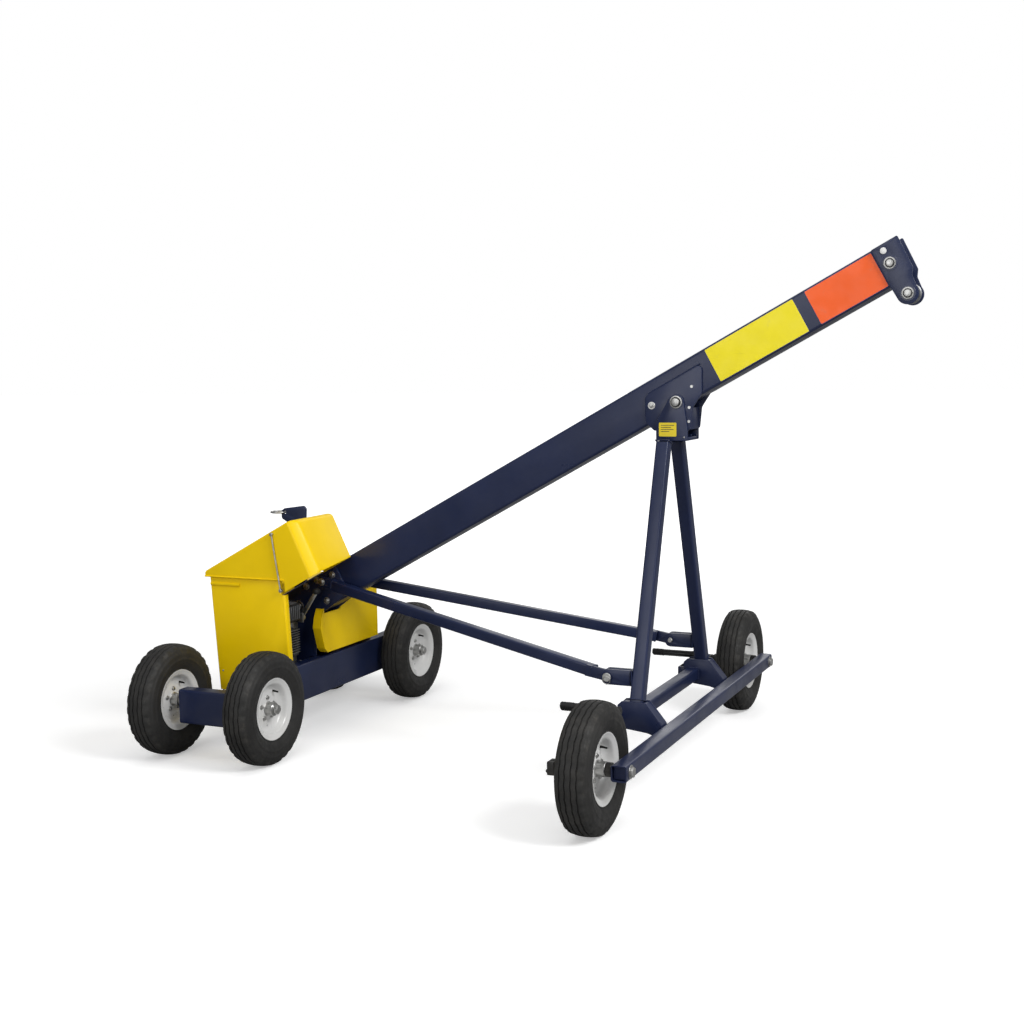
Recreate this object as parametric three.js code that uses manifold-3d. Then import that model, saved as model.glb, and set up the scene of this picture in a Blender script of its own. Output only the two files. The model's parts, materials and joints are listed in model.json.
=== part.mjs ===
// Engine-powered portable hoist crane, millimetres, +Z up.
// +X runs from the wheeled power carriage at the tail towards the boom head. The boom's middle plane is Y = 0.
// "near" pieces are on the -Y side and "far" pieces on the +Y side. The wheels stand on Z = 0.
import * as THREE from "three";
import { mergeVertices } from "three/addons/utils/BufferGeometryUtils.js";
import Module from "manifold-3d";

const wasm = await Module();
wasm.setup();

// ---- driving dimensions -------------------------------------------------------------------------------
const SHIFT_X = 505.2; // moves the front-wheel plane to this X, so that the box of the whole crane is centred
const GAP = 0.3; // clearance between touching pieces

const TYRE_R = 203; // 4.80/4.00-8 pneumatic wheel
const TYRE_HALF_W = 54.5;
const BEAD_R = 102;
const HUB_HALF = 45;
const HUB_R = 28;
const AXLE_R = 12.5;
const BORE_R = 13.2;
const WHEEL_SIDES = 20; // each wheel stands on one of its flats
const WHEEL_Z = 203;

const FRONT_WHEEL_Y = 830;
const CARRIAGE_WHEEL_Y = 554;
const REAR_WHEEL_X = -1764;
const MID_WHEEL_X = -1354;

const BOOM_ANGLE = 28.5; // degrees above level
const BOOM_MID_Z = 1312.5; // height of the boom's centre line at X = 0
const BOOM_HALF_H = 67;
const BOOM_HALF_W = 50;
const BOOM_WALL = 5;
const BOOM_TAIL = -1790; // along the boom from X = 0
const BOOM_HEAD = 842;
const HEAD_S0 = 790;
const HEAD_S1 = 883;
const SHEAVE_S = 824;
const UPPER_PIN_T = 1;
const LOWER_PIN_T = -110.6;
const SHEAVE_R = 40;

const FOOT_PIN = [-1520, 480]; // X, Z of the boom's foot pin
const FOOT_PIN_R = 15;
const AFRAME_PIN = [20, 1270];
const AFRAME_PIN_R = 14;
const TIE_PIN = [-1400, 585];
const TIE_FRONT = [-128, 370];

const LEG_SIZE = 45;
const LEG_X = -20;
const LEG_TOP_Z = 1165;
const LEG_TOP_Y = 66;
const LEG_SLOPE = 0.341; // sideways run for each unit of drop
const BAR_SIZE = 50; // front crossbar
const FRONT_BAR_X = 96;
const TIE_SIZE = 38;

const DRUM = [-1622, 345];
const DRUM_GEAR_R = 62;
const PINION_R = 24;
const PINION = [-1622 + 77.5, 345 + 40];

const SHEET = 4; // cover sheet thickness

// ---- colours ------------------------------------------------------------------------------------------
const NAVY = { color: 0x2b3261, roughness: 0.42, metalness: 0.1 };
const YELLOW = { color: 0xf2cf00, roughness: 0.4, metalness: 0.0 };
const RUBBER = { color: 0x2b2b29, roughness: 0.85, metalness: 0.0 };
const WHITE = { color: 0xe6e6e2, roughness: 0.4, metalness: 0.1 };
const ZINC = { color: 0xb4b6b8, roughness: 0.35, metalness: 0.9 };
const BLACK = { color: 0x171717, roughness: 0.55, metalness: 0.2 };
const ALLOY = { color: 0x9a9c9c, roughness: 0.5, metalness: 0.7 };

// ---- helpers ------------------------------------------------------------------------------------------
const crane = new THREE.Group();
crane.position.x = SHIFT_X;

function solid(geometry, matrix) {
  let g = geometry.index ? geometry.toNonIndexed() : geometry.clone();
  g = new THREE.BufferGeometry().setAttribute("position", g.getAttribute("position"));
  if (matrix) g.applyMatrix4(matrix);
  const m = mergeVertices(g, 1e-4);
  return new wasm.Manifold(
    new wasm.Mesh({
      numProp: 3,
      vertProperties: new Float32Array(m.attributes.position.array),
      triVerts: new Uint32Array(m.index.array),
    }),
  );
}

function geometryOf(body, mirror) {
  const m = body.getMesh();
  const p = new Float32Array(m.numVert * 3);
  for (let i = 0; i < m.numVert; i++)
    for (let k = 0; k < 3; k++) p[3 * i + k] = m.vertProperties[i * m.numProp + k] * (mirror && k === 1 ? -1 : 1);
  const t = new Uint32Array(m.triVerts);
  if (mirror) for (let i = 0; i < t.length; i += 3) [t[i + 1], t[i + 2]] = [t[i + 2], t[i + 1]];
  const g = new THREE.BufferGeometry().setAttribute("position", new THREE.BufferAttribute(p, 3));
  g.setIndex(new THREE.BufferAttribute(t, 1));
  const flat = g.toNonIndexed();
  flat.computeVertexNormals();
  return flat;
}

function add(name, body, look, mirror = false) {
  const mesh = new THREE.Mesh(geometryOf(body, mirror), new THREE.MeshStandardMaterial({ ...look }));
  mesh.name = name;
  crane.add(mesh);
  return body;
}

// The near piece as drawn, and its mirror image across Y = 0.
function pair(name, body, look) {
  add(name + "_near", body, look);
  add(name + "_far", body, look, true);
  return body;
}

const move = (x, y, z) => new THREE.Matrix4().makeTranslation(x, y, z);

function box(x0, x1, y0, y1, z0, z1, frame) {
  const m = move((x0 + x1) / 2, (y0 + y1) / 2, (z0 + z1) / 2);
  if (frame) m.premultiply(frame);
  return solid(new THREE.BoxGeometry(x1 - x0, y1 - y0, z1 - z0), m);
}

// A cylinder along X, Y or Z from a to b.
function rod(axis, a, b, u, v, r, sides = 16, frame) {
  const g = new THREE.CylinderGeometry(r, r, b - a, sides);
  const mid = (a + b) / 2;
  let m;
  if (axis === "x") m = move(mid, u, v).multiply(new THREE.Matrix4().makeRotationZ(-Math.PI / 2));
  else if (axis === "y") m = move(u, mid, v);
  else m = move(u, v, mid).multiply(new THREE.Matrix4().makeRotationX(Math.PI / 2));
  if (frame) m.premultiply(frame);
  return solid(g, m);
}

// A polygon in the XZ plane, thickened along Y.
function plateY(points, y0, y1, frame) {
  const shape = new THREE.Shape(points.map(([x, z]) => new THREE.Vector2(x, z)));
  const g = new THREE.ExtrudeGeometry(shape, { depth: y1 - y0, bevelEnabled: false });
  // shape (x, z, depth) to model (x, y = y1 - depth, z)
  const m = new THREE.Matrix4().set(1, 0, 0, 0, 0, 0, -1, y1, 0, 1, 0, 0, 0, 0, 0, 1);
  if (frame) m.premultiply(frame);
  return solid(g, m);
}

// A polygon in the YZ plane, thickened along X.
function plateX(points, x0, x1) {
  const shape = new THREE.Shape(points.map(([y, z]) => new THREE.Vector2(y, z)));
  const g = new THREE.ExtrudeGeometry(shape, { depth: x1 - x0, bevelEnabled: false });
  return solid(g, new THREE.Matrix4().set(0, 0, 1, x0, 1, 0, 0, 0, 0, 1, 0, 0, 0, 0, 0, 1));
}

function disc(cx, cz, r, count, from = 0, to = 2 * Math.PI) {
  const out = [];
  for (let i = 0; i < count; i++) {
    const a = from + ((to - from) * i) / (to - from >= 2 * Math.PI - 1e-6 ? count : count - 1);
    out.push([cx + r * Math.cos(a), cz + r * Math.sin(a)]);
  }
  return out;
}

// A closed profile of [radius, distance along the axis], turned about an axis along X or Y.
function turned(profile, axis, x, y, z, sides, frame, twist = 0) {
  const pts = profile.map(([r, h]) => new THREE.Vector2(r, h));
  pts.push(pts[0].clone());
  const g = new THREE.LatheGeometry(pts, sides);
  g.rotateY((twist * 2 * Math.PI) / sides);
  const m =
    axis === "x"
      ? move(x, y, z).multiply(new THREE.Matrix4().makeRotationZ(-Math.PI / 2))
      : axis === "z"
        ? move(x, y, z).multiply(new THREE.Matrix4().makeRotationX(Math.PI / 2))
        : move(x, y, z);
  if (frame) m.premultiply(frame);
  const body = solid(g, m);
  if (body.volume() > 0) return body;
  const back = g.toNonIndexed();
  const p = back.getAttribute("position");
  for (let i = 0; i < p.count; i += 3)
    for (let k = 0; k < 3; k++) {
      const t = p.array[3 * (i + 1) + k];
      p.array[3 * (i + 1) + k] = p.array[3 * (i + 2) + k];
      p.array[3 * (i + 2) + k] = t;
    }
  return solid(back, m);
}

// A rectangular bar from p to q: w across, h in the direction nearest to up.
function bar(p, q, w, h, up = [0, 0, 1], wall = 0) {
  const P = new THREE.Vector3(...p);
  const Q = new THREE.Vector3(...q);
  const u = Q.clone().sub(P);
  const length = u.length();
  u.normalize();
  const side = new THREE.Vector3(...up).cross(u).normalize();
  const top = u.clone().cross(side);
  const m = new THREE.Matrix4().makeBasis(u, side, top);
  m.setPosition(P);
  let body = box(0, length, -w / 2, w / 2, -h / 2, h / 2, m);
  if (wall) body = body.subtract(box(-5, length + 5, -w / 2 + wall, w / 2 - wall, -h / 2 + wall, h / 2 - wall, m));
  return body;
}

const rad = THREE.MathUtils.degToRad(BOOM_ANGLE);
const c = Math.cos(rad);
const s = Math.sin(rad);
// Boom frame: x along the boom, y across, z square to its top.
const BOOM = new THREE.Matrix4().makeBasis(
  new THREE.Vector3(c, 0, s),
  new THREE.Vector3(0, 1, 0),
  new THREE.Vector3(-s, 0, c),
);
BOOM.setPosition(0, 0, BOOM_MID_Z);

// ---- wheels -------------------------------------------------------------------------------------------
const TYRE = [
  [BEAD_R, -37], [138, -52], [170, -TYRE_HALF_W], [191, -44], [TYRE_R, -22],
  [TYRE_R, 22], [191, 44], [170, TYRE_HALF_W], [138, 52], [BEAD_R, 37],
];
const RIM = [
  [BORE_R, -HUB_HALF], [HUB_R, -HUB_HALF], [HUB_R + 4, -4], [91, -4], [91, -38], [BEAD_R - 0.5, -38],
  [BEAD_R - 0.5, 38], [91, 38], [91, 4], [HUB_R, HUB_HALF], [BORE_R, HUB_HALF],
];
const FLAT = 1 / Math.cos(Math.PI / WHEEL_SIDES); // a polygon's flats touch the true radius
const outward = (profile) => profile.map(([r, h]) => [r * FLAT, h]);
const WHEELS = {
  front_near: [0, -FRONT_WHEEL_Y], front_far: [0, FRONT_WHEEL_Y],
  mid_near: [MID_WHEEL_X, -CARRIAGE_WHEEL_Y], mid_far: [MID_WHEEL_X, CARRIAGE_WHEEL_Y],
  rear_near: [REAR_WHEEL_X, -CARRIAGE_WHEEL_Y], rear_far: [REAR_WHEEL_X, CARRIAGE_WHEEL_Y],
};
for (const [name, [x, y]] of Object.entries(WHEELS)) {
  add("tyre_" + name, turned(outward(TYRE), "x", x, y, WHEEL_Z, WHEEL_SIDES, null, 0.5), RUBBER);
  add("rim_" + name, turned(outward(RIM), "x", x, y, WHEEL_Z, WHEEL_SIDES, null, 0.5), WHITE);
}

// ---- carriage -----------------------------------------------------------------------------------------
const BEAM_X0 = -1700;
const BEAM_X1 = -1420;
// Long beams between the end boxes.
add("carriage_front_beam", box(BEAM_X1 - 50, BEAM_X1, -530 + GAP, 530 - GAP, 142, 285).subtract(
  box(BEAM_X1 - 45, BEAM_X1 - 5, -600, 600, 147, 280)), NAVY);
add("carriage_rear_beam", box(BEAM_X0, BEAM_X0 + 50, -530 + GAP, 530 - GAP, 142, 190).subtract(
  box(BEAM_X0 + 5, BEAM_X0 + 45, -600, 600, 147, 185)), NAVY);
// End boxes that carry the through axles.
pair("carriage_end_box", box(BEAM_X0, BEAM_X1, -590, -530, 125, 250)
  .subtract(box(BEAM_X0 + 6, BEAM_X1 - 6, -584, -536, 131, 244))
  .subtract(rod("x", BEAM_X0 - 10, BEAM_X1 + 10, -CARRIAGE_WHEEL_Y, WHEEL_Z, BORE_R + 0.5, 10)), NAVY);
const deckTop = 256.3;
// Folded deck: its rear flange stands on the rear beam.
add("deck_plate", box(BEAM_X0, BEAM_X1 - 50 - GAP, -324, 345, 250.3, deckTop)
  .add(box(BEAM_X0, BEAM_X0 + 6, -324, 345, 190 + GAP, deckTop)), NAVY);

// Through axle: shaft, inner collars, outer washers and nuts.
function axle(y) {
  const a = REAR_WHEEL_X - HUB_HALF;
  const b = MID_WHEEL_X + HUB_HALF;
  return rod("x", a - 16, b + 16, y, WHEEL_Z, AXLE_R, 10)
    .add(rod("x", a - 13, a - 0.5, y, WHEEL_Z, 19, 6))
    .add(rod("x", b + 0.5, b + 13, y, WHEEL_Z, 19, 6))
    .add(rod("x", REAR_WHEEL_X + HUB_HALF + 0.5, BEAM_X0 - GAP - 0.3, y, WHEEL_Z, 20, 10))
    .add(rod("x", BEAM_X1 + GAP + 0.3, MID_WHEEL_X - HUB_HALF - 0.5, y, WHEEL_Z, 20, 10));
}
pair("carriage_axle", axle(-CARRIAGE_WHEEL_Y), ZINC);

// Support plates: they stand on the deck and the front beam, are bolted to the boom's tail, and hold the winch
// drum's shaft and the ties' rear pins.
const onPlate = (S, T) => [S * c - T * s, BOOM_MID_Z + S * s + T * c];
const supportOutline = [
  [-1702, deckTop + GAP], [-1474, deckTop + GAP], [-1474, 285 + GAP], [-1448, 285 + GAP], [-1446, 436],
  onPlate(-1512, -58), onPlate(-1504, -50), onPlate(-1504, 52), onPlate(-1512, 60), onPlate(-1790, 60), [-1702, 400],
];
let support = plateY(supportOutline, -58.3, -50.3)
  .subtract(rod("y", -80, -40, FOOT_PIN[0], FOOT_PIN[1], FOOT_PIN_R + 0.5, 10))
  .subtract(rod("y", -80, -40, DRUM[0], DRUM[1], 15, 10));
for (const [S, T] of [[-1606, 46], [-1606, -42], [-1534, 34]]) support = support.add(rod("y", -63.5, -58, S, T, 11, 6, BOOM));
support = support.add(rod("y", -82, -58, TIE_PIN[0], TIE_PIN[1], 9, 10)).add(rod("y", -88, -79, TIE_PIN[0], TIE_PIN[1], 15, 10));
pair("support_plate", support, NAVY);
add("boom_foot_pin", rod("y", -66, 66, FOOT_PIN[0], FOOT_PIN[1], FOOT_PIN_R, 10)
  .add(rod("y", -68, -58.7, FOOT_PIN[0], FOOT_PIN[1], 24, 10))
  .add(rod("y", 58.7, 68, FOOT_PIN[0], FOOT_PIN[1], 24, 10)), ZINC);

// Winch drum with its shaft, flanges and wound rope.
add("winch_drum", turned([
  [0, -96], [13.8, -96], [13.8, -46], [68, -46], [68, -42], [44, -42], [44, 42], [68, 42], [68, 46], [13.8, 46], [13.8, 66], [0, 66],
], "y", DRUM[0], 0, DRUM[1], 16), ALLOY);
add("drum_gear", turned([[14.2, -92], [DRUM_GEAR_R, -92], [DRUM_GEAR_R, -76], [14.2, -76]], "y", DRUM[0], 0, DRUM[1], 16), ALLOY);
add("drive_pinion", rod("y", -94, -74, PINION[0], PINION[1], PINION_R, 16)
  .add(rod("y", -112, -73, PINION[0], PINION[1], 10, 12)), ZINC);

// Engine, gearbox, fuel tank and muffler under the near cover.
const engineY0 = -300;
add("gearbox", box(-1610, -1490, -150, -114, 300, 470)
  .add(box(-1600, -1500, -150, -114, deckTop + GAP, 310))
  .add(box(-1495, -1446, -148, -139, 435, 472))
  .subtract(rod("y", -115, -105, PINION[0], PINION[1], 12, 12))
  .subtract(rod("y", -130, -110, PINION[0], PINION[1], 10.6, 12)), ALLOY);
let engine = box(-1660, -1480, engineY0 + 20, -150 - GAP, 300, 440)
  .add(box(-1650, -1490, engineY0 + 10, -160, deckTop + GAP, 302));
for (let i = 0; i < 4; i++) engine = engine.add(box(-1660, -1446, -268, -168, 330 + i * 24, 340 + i * 24));
engine = engine.add(rod("y", -318, -279, -1570, 372, 74, 14));
add("engine_block", engine, ALLOY);
add("fuel_tank", box(-1665, -1510, -290, -150, 452, 528).add(rod("z", 520, 545, -1590, -220, 24, 10)), BLACK);
add("muffler", box(-1500, -1440, -280, -170, 446, 522), BLACK);

// Clutch lever beside the front opening.
const LEVER_PIVOT = [-1462, 453];
add("clutch_lever", bar([LEVER_PIVOT[0], -130, LEVER_PIVOT[1]], [-1392, -130, 556], 8, 16)
  .add(rod("y", -138.5, -123, LEVER_PIVOT[0], LEVER_PIVOT[1], 14, 12))
  .add(rod("y", -146, -114, -1392, 556, 12, 12)), ZINC);

// Covers. The near cover is open to the front and inwards; the far cover stands beyond and below the boom.
const COVER_X0 = -1724;
const COVER_X1 = -1404;
const nearCover = plateY([[-1708, 195], [-1473, 195], [-1473, 285 + GAP], [-1389, 285 + GAP], [-1403.5, 571], [-1416, 571], [-1416, 624], [-1738, 624]], -330, -330 + SHEET)
  .add(plateY([[-1708, 195], [-1708 + SHEET, 195], [-1738 + SHEET, 624], [-1738, 624]], -330, -68))
  .add(plateY([[-1389 - SHEET, 285 + GAP], [-1389, 285 + GAP], [-1403.5, 571], [-1403.5 - SHEET, 571]], -330, -306));
add("near_cover", nearCover, YELLOW);

const farOuter = plateX([[-40, 302], [350, 302], [350, 540], [334, 556], [112, 556], [66.5, 500], [66.5, 477], [-63, 477], [-80, 443], [-89, 404], [-62, 320]], COVER_X1 - 36, COVER_X1)
  .add(box(COVER_X0, COVER_X1 - 35, 94, 350, 257, 556));
const farInner = plateX([[-44, 290], [346, 290], [346, 538.5], [332.5, 552], [114, 552], [70.5, 498.5], [70.5, 472], [62, 472], [62, 490], [-59.5, 490], [-76, 442], [-84.8, 404], [-58.2, 321.5]], COVER_X1 - 60, COVER_X1 - SHEET)
  .add(box(COVER_X0 + SHEET, COVER_X1 - 30, 98, 346, 240, 552));
// A notch in its top edge passes the boom and the support plates.
const farCover = farOuter.subtract(farInner)
  .subtract(box(-1450, -1400, -59.3, 59.3, 459, 500))
  .subtract(box(-1471, COVER_X1 - 34, 60, 400, 200, 285 + GAP));
add("far_cover", farCover, YELLOW);

// Hood: a slanted lid over the near cover, hinged along its low rear edge.
const HOOD_HINGE = [-1747, 633];
const hoodOuter = [[-1757, 626], [-1757, 646], [-1372, 851], [-1350, 847], [-1264, 667], [-1266, 655], [-1398, 580], [-1400, 626]];
const hoodInner = [[-1752, 600], [-1752, 643], [-1371, 846], [-1353.5, 842.5], [-1269, 666], [-1270.5, 657.5], [-1394, 587], [-1396, 600]];
const HOOD_FAR_Y = -62;
// The hood's lower front edge rises from its near side to the boom's top, which leaves room for the tie.
const wedgeShape = new THREE.Shape([[-345, 27], [-62, 71], [60, 71], [60, -200], [-345, -200]].map(([y, h]) => new THREE.Vector2(y, h)));
const wedge = solid(
  new THREE.ExtrudeGeometry(wedgeShape, { depth: 420, bevelEnabled: false }),
  new THREE.Matrix4().set(0, 0, 1, -1640, 1, 0, 0, 0, 0, 1, 0, 0, 0, 0, 0, 1).premultiply(BOOM),
);
const hood = plateY(hoodOuter, -336, HOOD_FAR_Y).subtract(plateY(hoodInner, -336 + SHEET, HOOD_FAR_Y - SHEET))
  .subtract(box(BOOM_TAIL - 30, BOOM_TAIL + 600, -BOOM_HALF_W - 12, BOOM_HALF_W + 12, -BOOM_HALF_H - 20, BOOM_HALF_H + 4, BOOM))
  .subtract(wedge)
  .add(rod("y", -320, -80, HOOD_HINGE[0], HOOD_HINGE[1], 7, 8));
add("power_hood", hood, YELLOW);

// ---- boom ---------------------------------------------------------------------------------------------
let boom = box(BOOM_TAIL, BOOM_HEAD, -BOOM_HALF_W, BOOM_HALF_W, -BOOM_HALF_H, BOOM_HALF_H, BOOM)
  .subtract(box(BOOM_TAIL - 5, BOOM_HEAD + 5, -BOOM_HALF_W + BOOM_WALL, BOOM_HALF_W - BOOM_WALL, -BOOM_HALF_H + BOOM_WALL, BOOM_HALF_H - BOOM_WALL, BOOM))
  .subtract(rod("y", -90, 90, FOOT_PIN[0], FOOT_PIN[1], FOOT_PIN_R + 0.5, 10))
  .subtract(rod("y", -90, 90, AFRAME_PIN[0], AFRAME_PIN[1], AFRAME_PIN_R + 0.5, 10))
  .subtract(rod("y", -90, 90, SHEAVE_S, UPPER_PIN_T, 12.5, 10, BOOM));
add("boom_tube", boom, NAVY);

// Head: two plates outside the tube, with a lobe below for the lower sheave.
const lobe = disc(SHEAVE_S + 3, LOWER_PIN_T, 35, 11, Math.PI * 1.03, Math.PI * 2.06);
const headOutline = [
  [HEAD_S0, 66], [HEAD_S0, -60], ...lobe, [865, -68], [HEAD_S1 - 4, -46], [HEAD_S1, 66],
];
pair("head_plate", plateY(headOutline, -58.3, -50.3, BOOM)
  .subtract(rod("y", -70, -40, SHEAVE_S, UPPER_PIN_T, 12.5, 10, BOOM))
  .subtract(rod("y", -70, -40, SHEAVE_S + 4, LOWER_PIN_T, 12.5, 10, BOOM))
  .subtract(rod("y", -70, -40, SHEAVE_S, 45, 9, 8, BOOM)), NAVY);
for (const [name, S, T, half] of [["upper", SHEAVE_S, UPPER_PIN_T, 15], ["lower", SHEAVE_S + 4, LOWER_PIN_T, 15]]) {
  add("head_pin_" + name, rod("y", -66, 66, S, T, 12, 10, BOOM)
    .add(rod("y", -67, -58.7, S, T, 20, 10, BOOM))
    .add(rod("y", 58.7, 67, S, T, 20, 10, BOOM)), ZINC);
  const r = name === "lower" ? 33 : SHEAVE_R;
  add("sheave_" + name, turned([
    [12.9, -half], [r, -half], [r - 10, -3], [r - 10, 3], [r, half], [12.9, half],
  ], "y", S, 0, T, 16, BOOM), ALLOY);
}

// Saddle under and beside the boom where the A-frame hangs.
const saddleTop = (x) => BOOM_MID_Z + (x * s) / c + 30;
const saddleOutline = [[-92, 1200], [-62, 1172], [60, 1172], [68, 1182], [75, 1250], [108, 1300], [108, saddleTop(108)], [-92, saddleTop(-92)]];
const saddleStrap = (x0, x1) => box(x0, x1, -58, 58, 1172, 1182);
add("boom_saddle", plateY(saddleOutline, -58.3, -50.3).add(plateY(saddleOutline, 50.3, 58.3)).add(saddleStrap(-58, -20))
  .subtract(rod("y", -70, 70, AFRAME_PIN[0], AFRAME_PIN[1], AFRAME_PIN_R + 0.5, 10)), NAVY);
add("aframe_pivot_pin", rod("y", -74, 74, AFRAME_PIN[0], AFRAME_PIN[1], AFRAME_PIN_R, 10)
  .add(rod("y", -80, -67.4, AFRAME_PIN[0], AFRAME_PIN[1], 22, 10))
  .add(rod("y", 67.4, 80, AFRAME_PIN[0], AFRAME_PIN[1], 22, 10)), ZINC);

// Lifting post on the boom's tail with its lug and ring.
const postBase = (x) => BOOM_MID_Z + (x * s) / c + BOOM_HALF_H / c + 0.5;
const LUG_HOLE = [-1634, 836];
const POST_Y = 40;
add("lifting_post", plateY([[-1596, postBase(-1596)], [-1546, postBase(-1546)], [-1546, 800], [-1596, 800]], POST_Y - 12, POST_Y + 10)
  .add(plateY([[-1648, 812], [-1610, 790], [-1540, 790], [-1536, 852], [-1546, 864], [-1634, 852], [-1648, 842]], POST_Y - 6, POST_Y + 6))
  .subtract(rod("y", POST_Y - 20, POST_Y + 20, LUG_HOLE[0], LUG_HOLE[1], 8, 8)), NAVY);
// The ring lies back from the lug, level, threaded through its hole.
const RING_R = 30;
const RING_WIRE = 4;
add("lifting_ring", turned(disc(RING_R, 0, RING_WIRE, 6, Math.PI / 6, Math.PI / 6 + 2 * Math.PI), "z", LUG_HOLE[0] - RING_R, POST_Y, LUG_HOLE[1], 14), ZINC);

// ---- A-frame ------------------------------------------------------------------------------------------
const legY = (z) => LEG_TOP_Y + (LEG_TOP_Z - z) * LEG_SLOPE;
const GUSSET_TOP = 300;
// Head: two cheeks outside the saddle, joined below it.
const cheek = [[-52, 1138], [60, 1138], [60, 1180], [44, 1286], [20, 1300], [-4, 1286], [-52, 1200]];
let head = plateY(cheek, -67, -59).add(plateY(cheek, 59, 67)).add(box(-50, 58, -60, 60, 1138, 1150))
  .subtract(rod("y", -90, 90, AFRAME_PIN[0], AFRAME_PIN[1], AFRAME_PIN_R + 1.4, 16));
add("aframe_head", head, NAVY);
const legAngleUp = [1, 0, 0];
const slab = (z0, z1) => box(-400, 400, -700, 700, z0, z1);
const legBody = bar([LEG_X, -legY(1250), 1250], [LEG_X, -legY(200), 200], LEG_SIZE, LEG_SIZE, legAngleUp, 4)
  .intersect(slab(GUSSET_TOP + GAP, 1137.5));

const FRONT_FACE = FRONT_BAR_X - BAR_SIZE / 2;
const gy0 = -legY(GUSSET_TOP) - 26;
const gy1 = gy0 + 52;
const gusset = plateY([[-83, 212], [-83, 286], [-68, GUSSET_TOP], [14, GUSSET_TOP], [FRONT_FACE - GAP, 230], [FRONT_FACE - GAP, 184], [20, 200]], gy0, gy1);
add("rear_crossbar", box(-70, -25, gy1 + GAP, -gy1 - GAP, 222, 267).subtract(box(-66, -29, -500, 500, 226, 263)), NAVY);
// Front crossbar with its brake lugs on the rear face.
const BRAKE_PIVOT = [-585, 245];
let frontBar = box(FRONT_FACE, FRONT_FACE + BAR_SIZE, -867, 867, WHEEL_Z - 25, WHEEL_Z + 25)
  .subtract(box(FRONT_FACE + 4, FRONT_FACE + BAR_SIZE - 4, -900, 900, WHEEL_Z - 21, WHEEL_Z + 21))
  .subtract(rod("x", FRONT_FACE - 5, FRONT_FACE + BAR_SIZE + 5, -FRONT_WHEEL_Y, WHEEL_Z, AXLE_R + 0.5, 10))
  .subtract(rod("x", FRONT_FACE - 5, FRONT_FACE + BAR_SIZE + 5, FRONT_WHEEL_Y, WHEEL_Z, AXLE_R + 0.5, 10));
add("front_crossbar", frontBar, NAVY);
const frontAxle = rod("x", -135, FRONT_FACE + BAR_SIZE + 8, -FRONT_WHEEL_Y, WHEEL_Z, AXLE_R, 10)
  .add(rod("x", HUB_HALF + 0.5, FRONT_FACE - GAP - 0.2, -FRONT_WHEEL_Y, WHEEL_Z, 22, 10))
  .add(rod("x", -HUB_HALF - 60, -HUB_HALF - 0.5, -FRONT_WHEEL_Y, WHEEL_Z, 18, 10))
  .add(box(-140, -116, -FRONT_WHEEL_Y - 22, -FRONT_WHEEL_Y + 22, 171, 213))
  .add(rod("x", FRONT_FACE + BAR_SIZE + GAP + 0.2, FRONT_FACE + BAR_SIZE + 12, -FRONT_WHEEL_Y, WHEEL_Z, 17.5, 6));
pair("front_axle", frontAxle, BLACK);
// Brake arms reach from the gussets to the brake levers' pivots.
const brakeArm = box(-112, -86, -604, gy0 + 20, 228, 262)
  .add(box(-112, -75, gy0 - 30, gy0 + 30, 228, 262))
  .subtract(rod("x", -120, -80, BRAKE_PIVOT[0], 245, 8.4, 12));
pair("base_gusset", gusset.add(brakeArm), NAVY);

// Clevises on the legs' rear faces for the ties' front ends.
const clevisY = -legY(TIE_FRONT[1]) ;
const clevis = box(-150, LEG_X - LEG_SIZE / 2 + 0.5, clevisY - 20, clevisY - 8, 345, 396)
  .add(box(-150, LEG_X - LEG_SIZE / 2 + 0.5, clevisY + 8, clevisY + 20, 345, 396))
  .add(box(LEG_X - LEG_SIZE / 2 - 8, LEG_X - LEG_SIZE / 2 + 0.5, clevisY - 20, clevisY + 20, 345, 396))
  .subtract(rod("y", clevisY - 40, clevisY + 40, TIE_FRONT[0], TIE_FRONT[1], 9.4, 12));
pair("leg", legBody.add(clevis), NAVY);

// ---- ties ---------------------------------------------------------------------------------------------
// Each tie is a square tube with a flat lug at both ends. The lugs lie in the plane that the tie swings in.
const rearLugY = -70; // middle of the rear lug
{
  const A = new THREE.Vector3(TIE_PIN[0], rearLugY - 3, TIE_PIN[1]);
  const B = new THREE.Vector3(TIE_FRONT[0], clevisY, TIE_FRONT[1]);
  const u = B.clone().sub(A).normalize();
  const a = A.clone().addScaledVector(u, 60);
  const b = B.clone().addScaledVector(u, -58);
  const slope = Math.atan2(B.z - A.z, B.x - A.x);
  const lug = (P, from, to, y0, y1, holeR) => {
    const m = new THREE.Matrix4().makeRotationY(-slope);
    m.setPosition(P.x, 0, P.z);
    return plateY([...disc(0, 0, 19, 9, from, from + Math.PI), [to, from > 0 ? -19 : 19].map((q) => q), [to, from > 0 ? 19 : -19]], y0, y1, m)
      .subtract(rod("y", y0 - 5, y1 + 5, P.x, P.z, holeR, 12));
  };
  const tie = bar([a.x, a.y, a.z], [b.x, b.y, b.z], TIE_SIZE, TIE_SIZE, [0, 0, 1], 0)
    .add(lug(A, Math.PI / 2, 82, rearLugY - 7, rearLugY + 5, 9.4))
    .add(lug(B, -Math.PI / 2, -82, clevisY - 6, clevisY + 6, 9.4));
  pair("tie", tie, NAVY);
}
const tiePin = rod("y", clevisY - 27, clevisY + 28, TIE_FRONT[0], TIE_FRONT[1], 9, 12)
  .add(rod("y", clevisY - 29, clevisY - 20.4, TIE_FRONT[0], TIE_FRONT[1], 15, 12));
pair("tie_pin", tiePin, ZINC);

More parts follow.
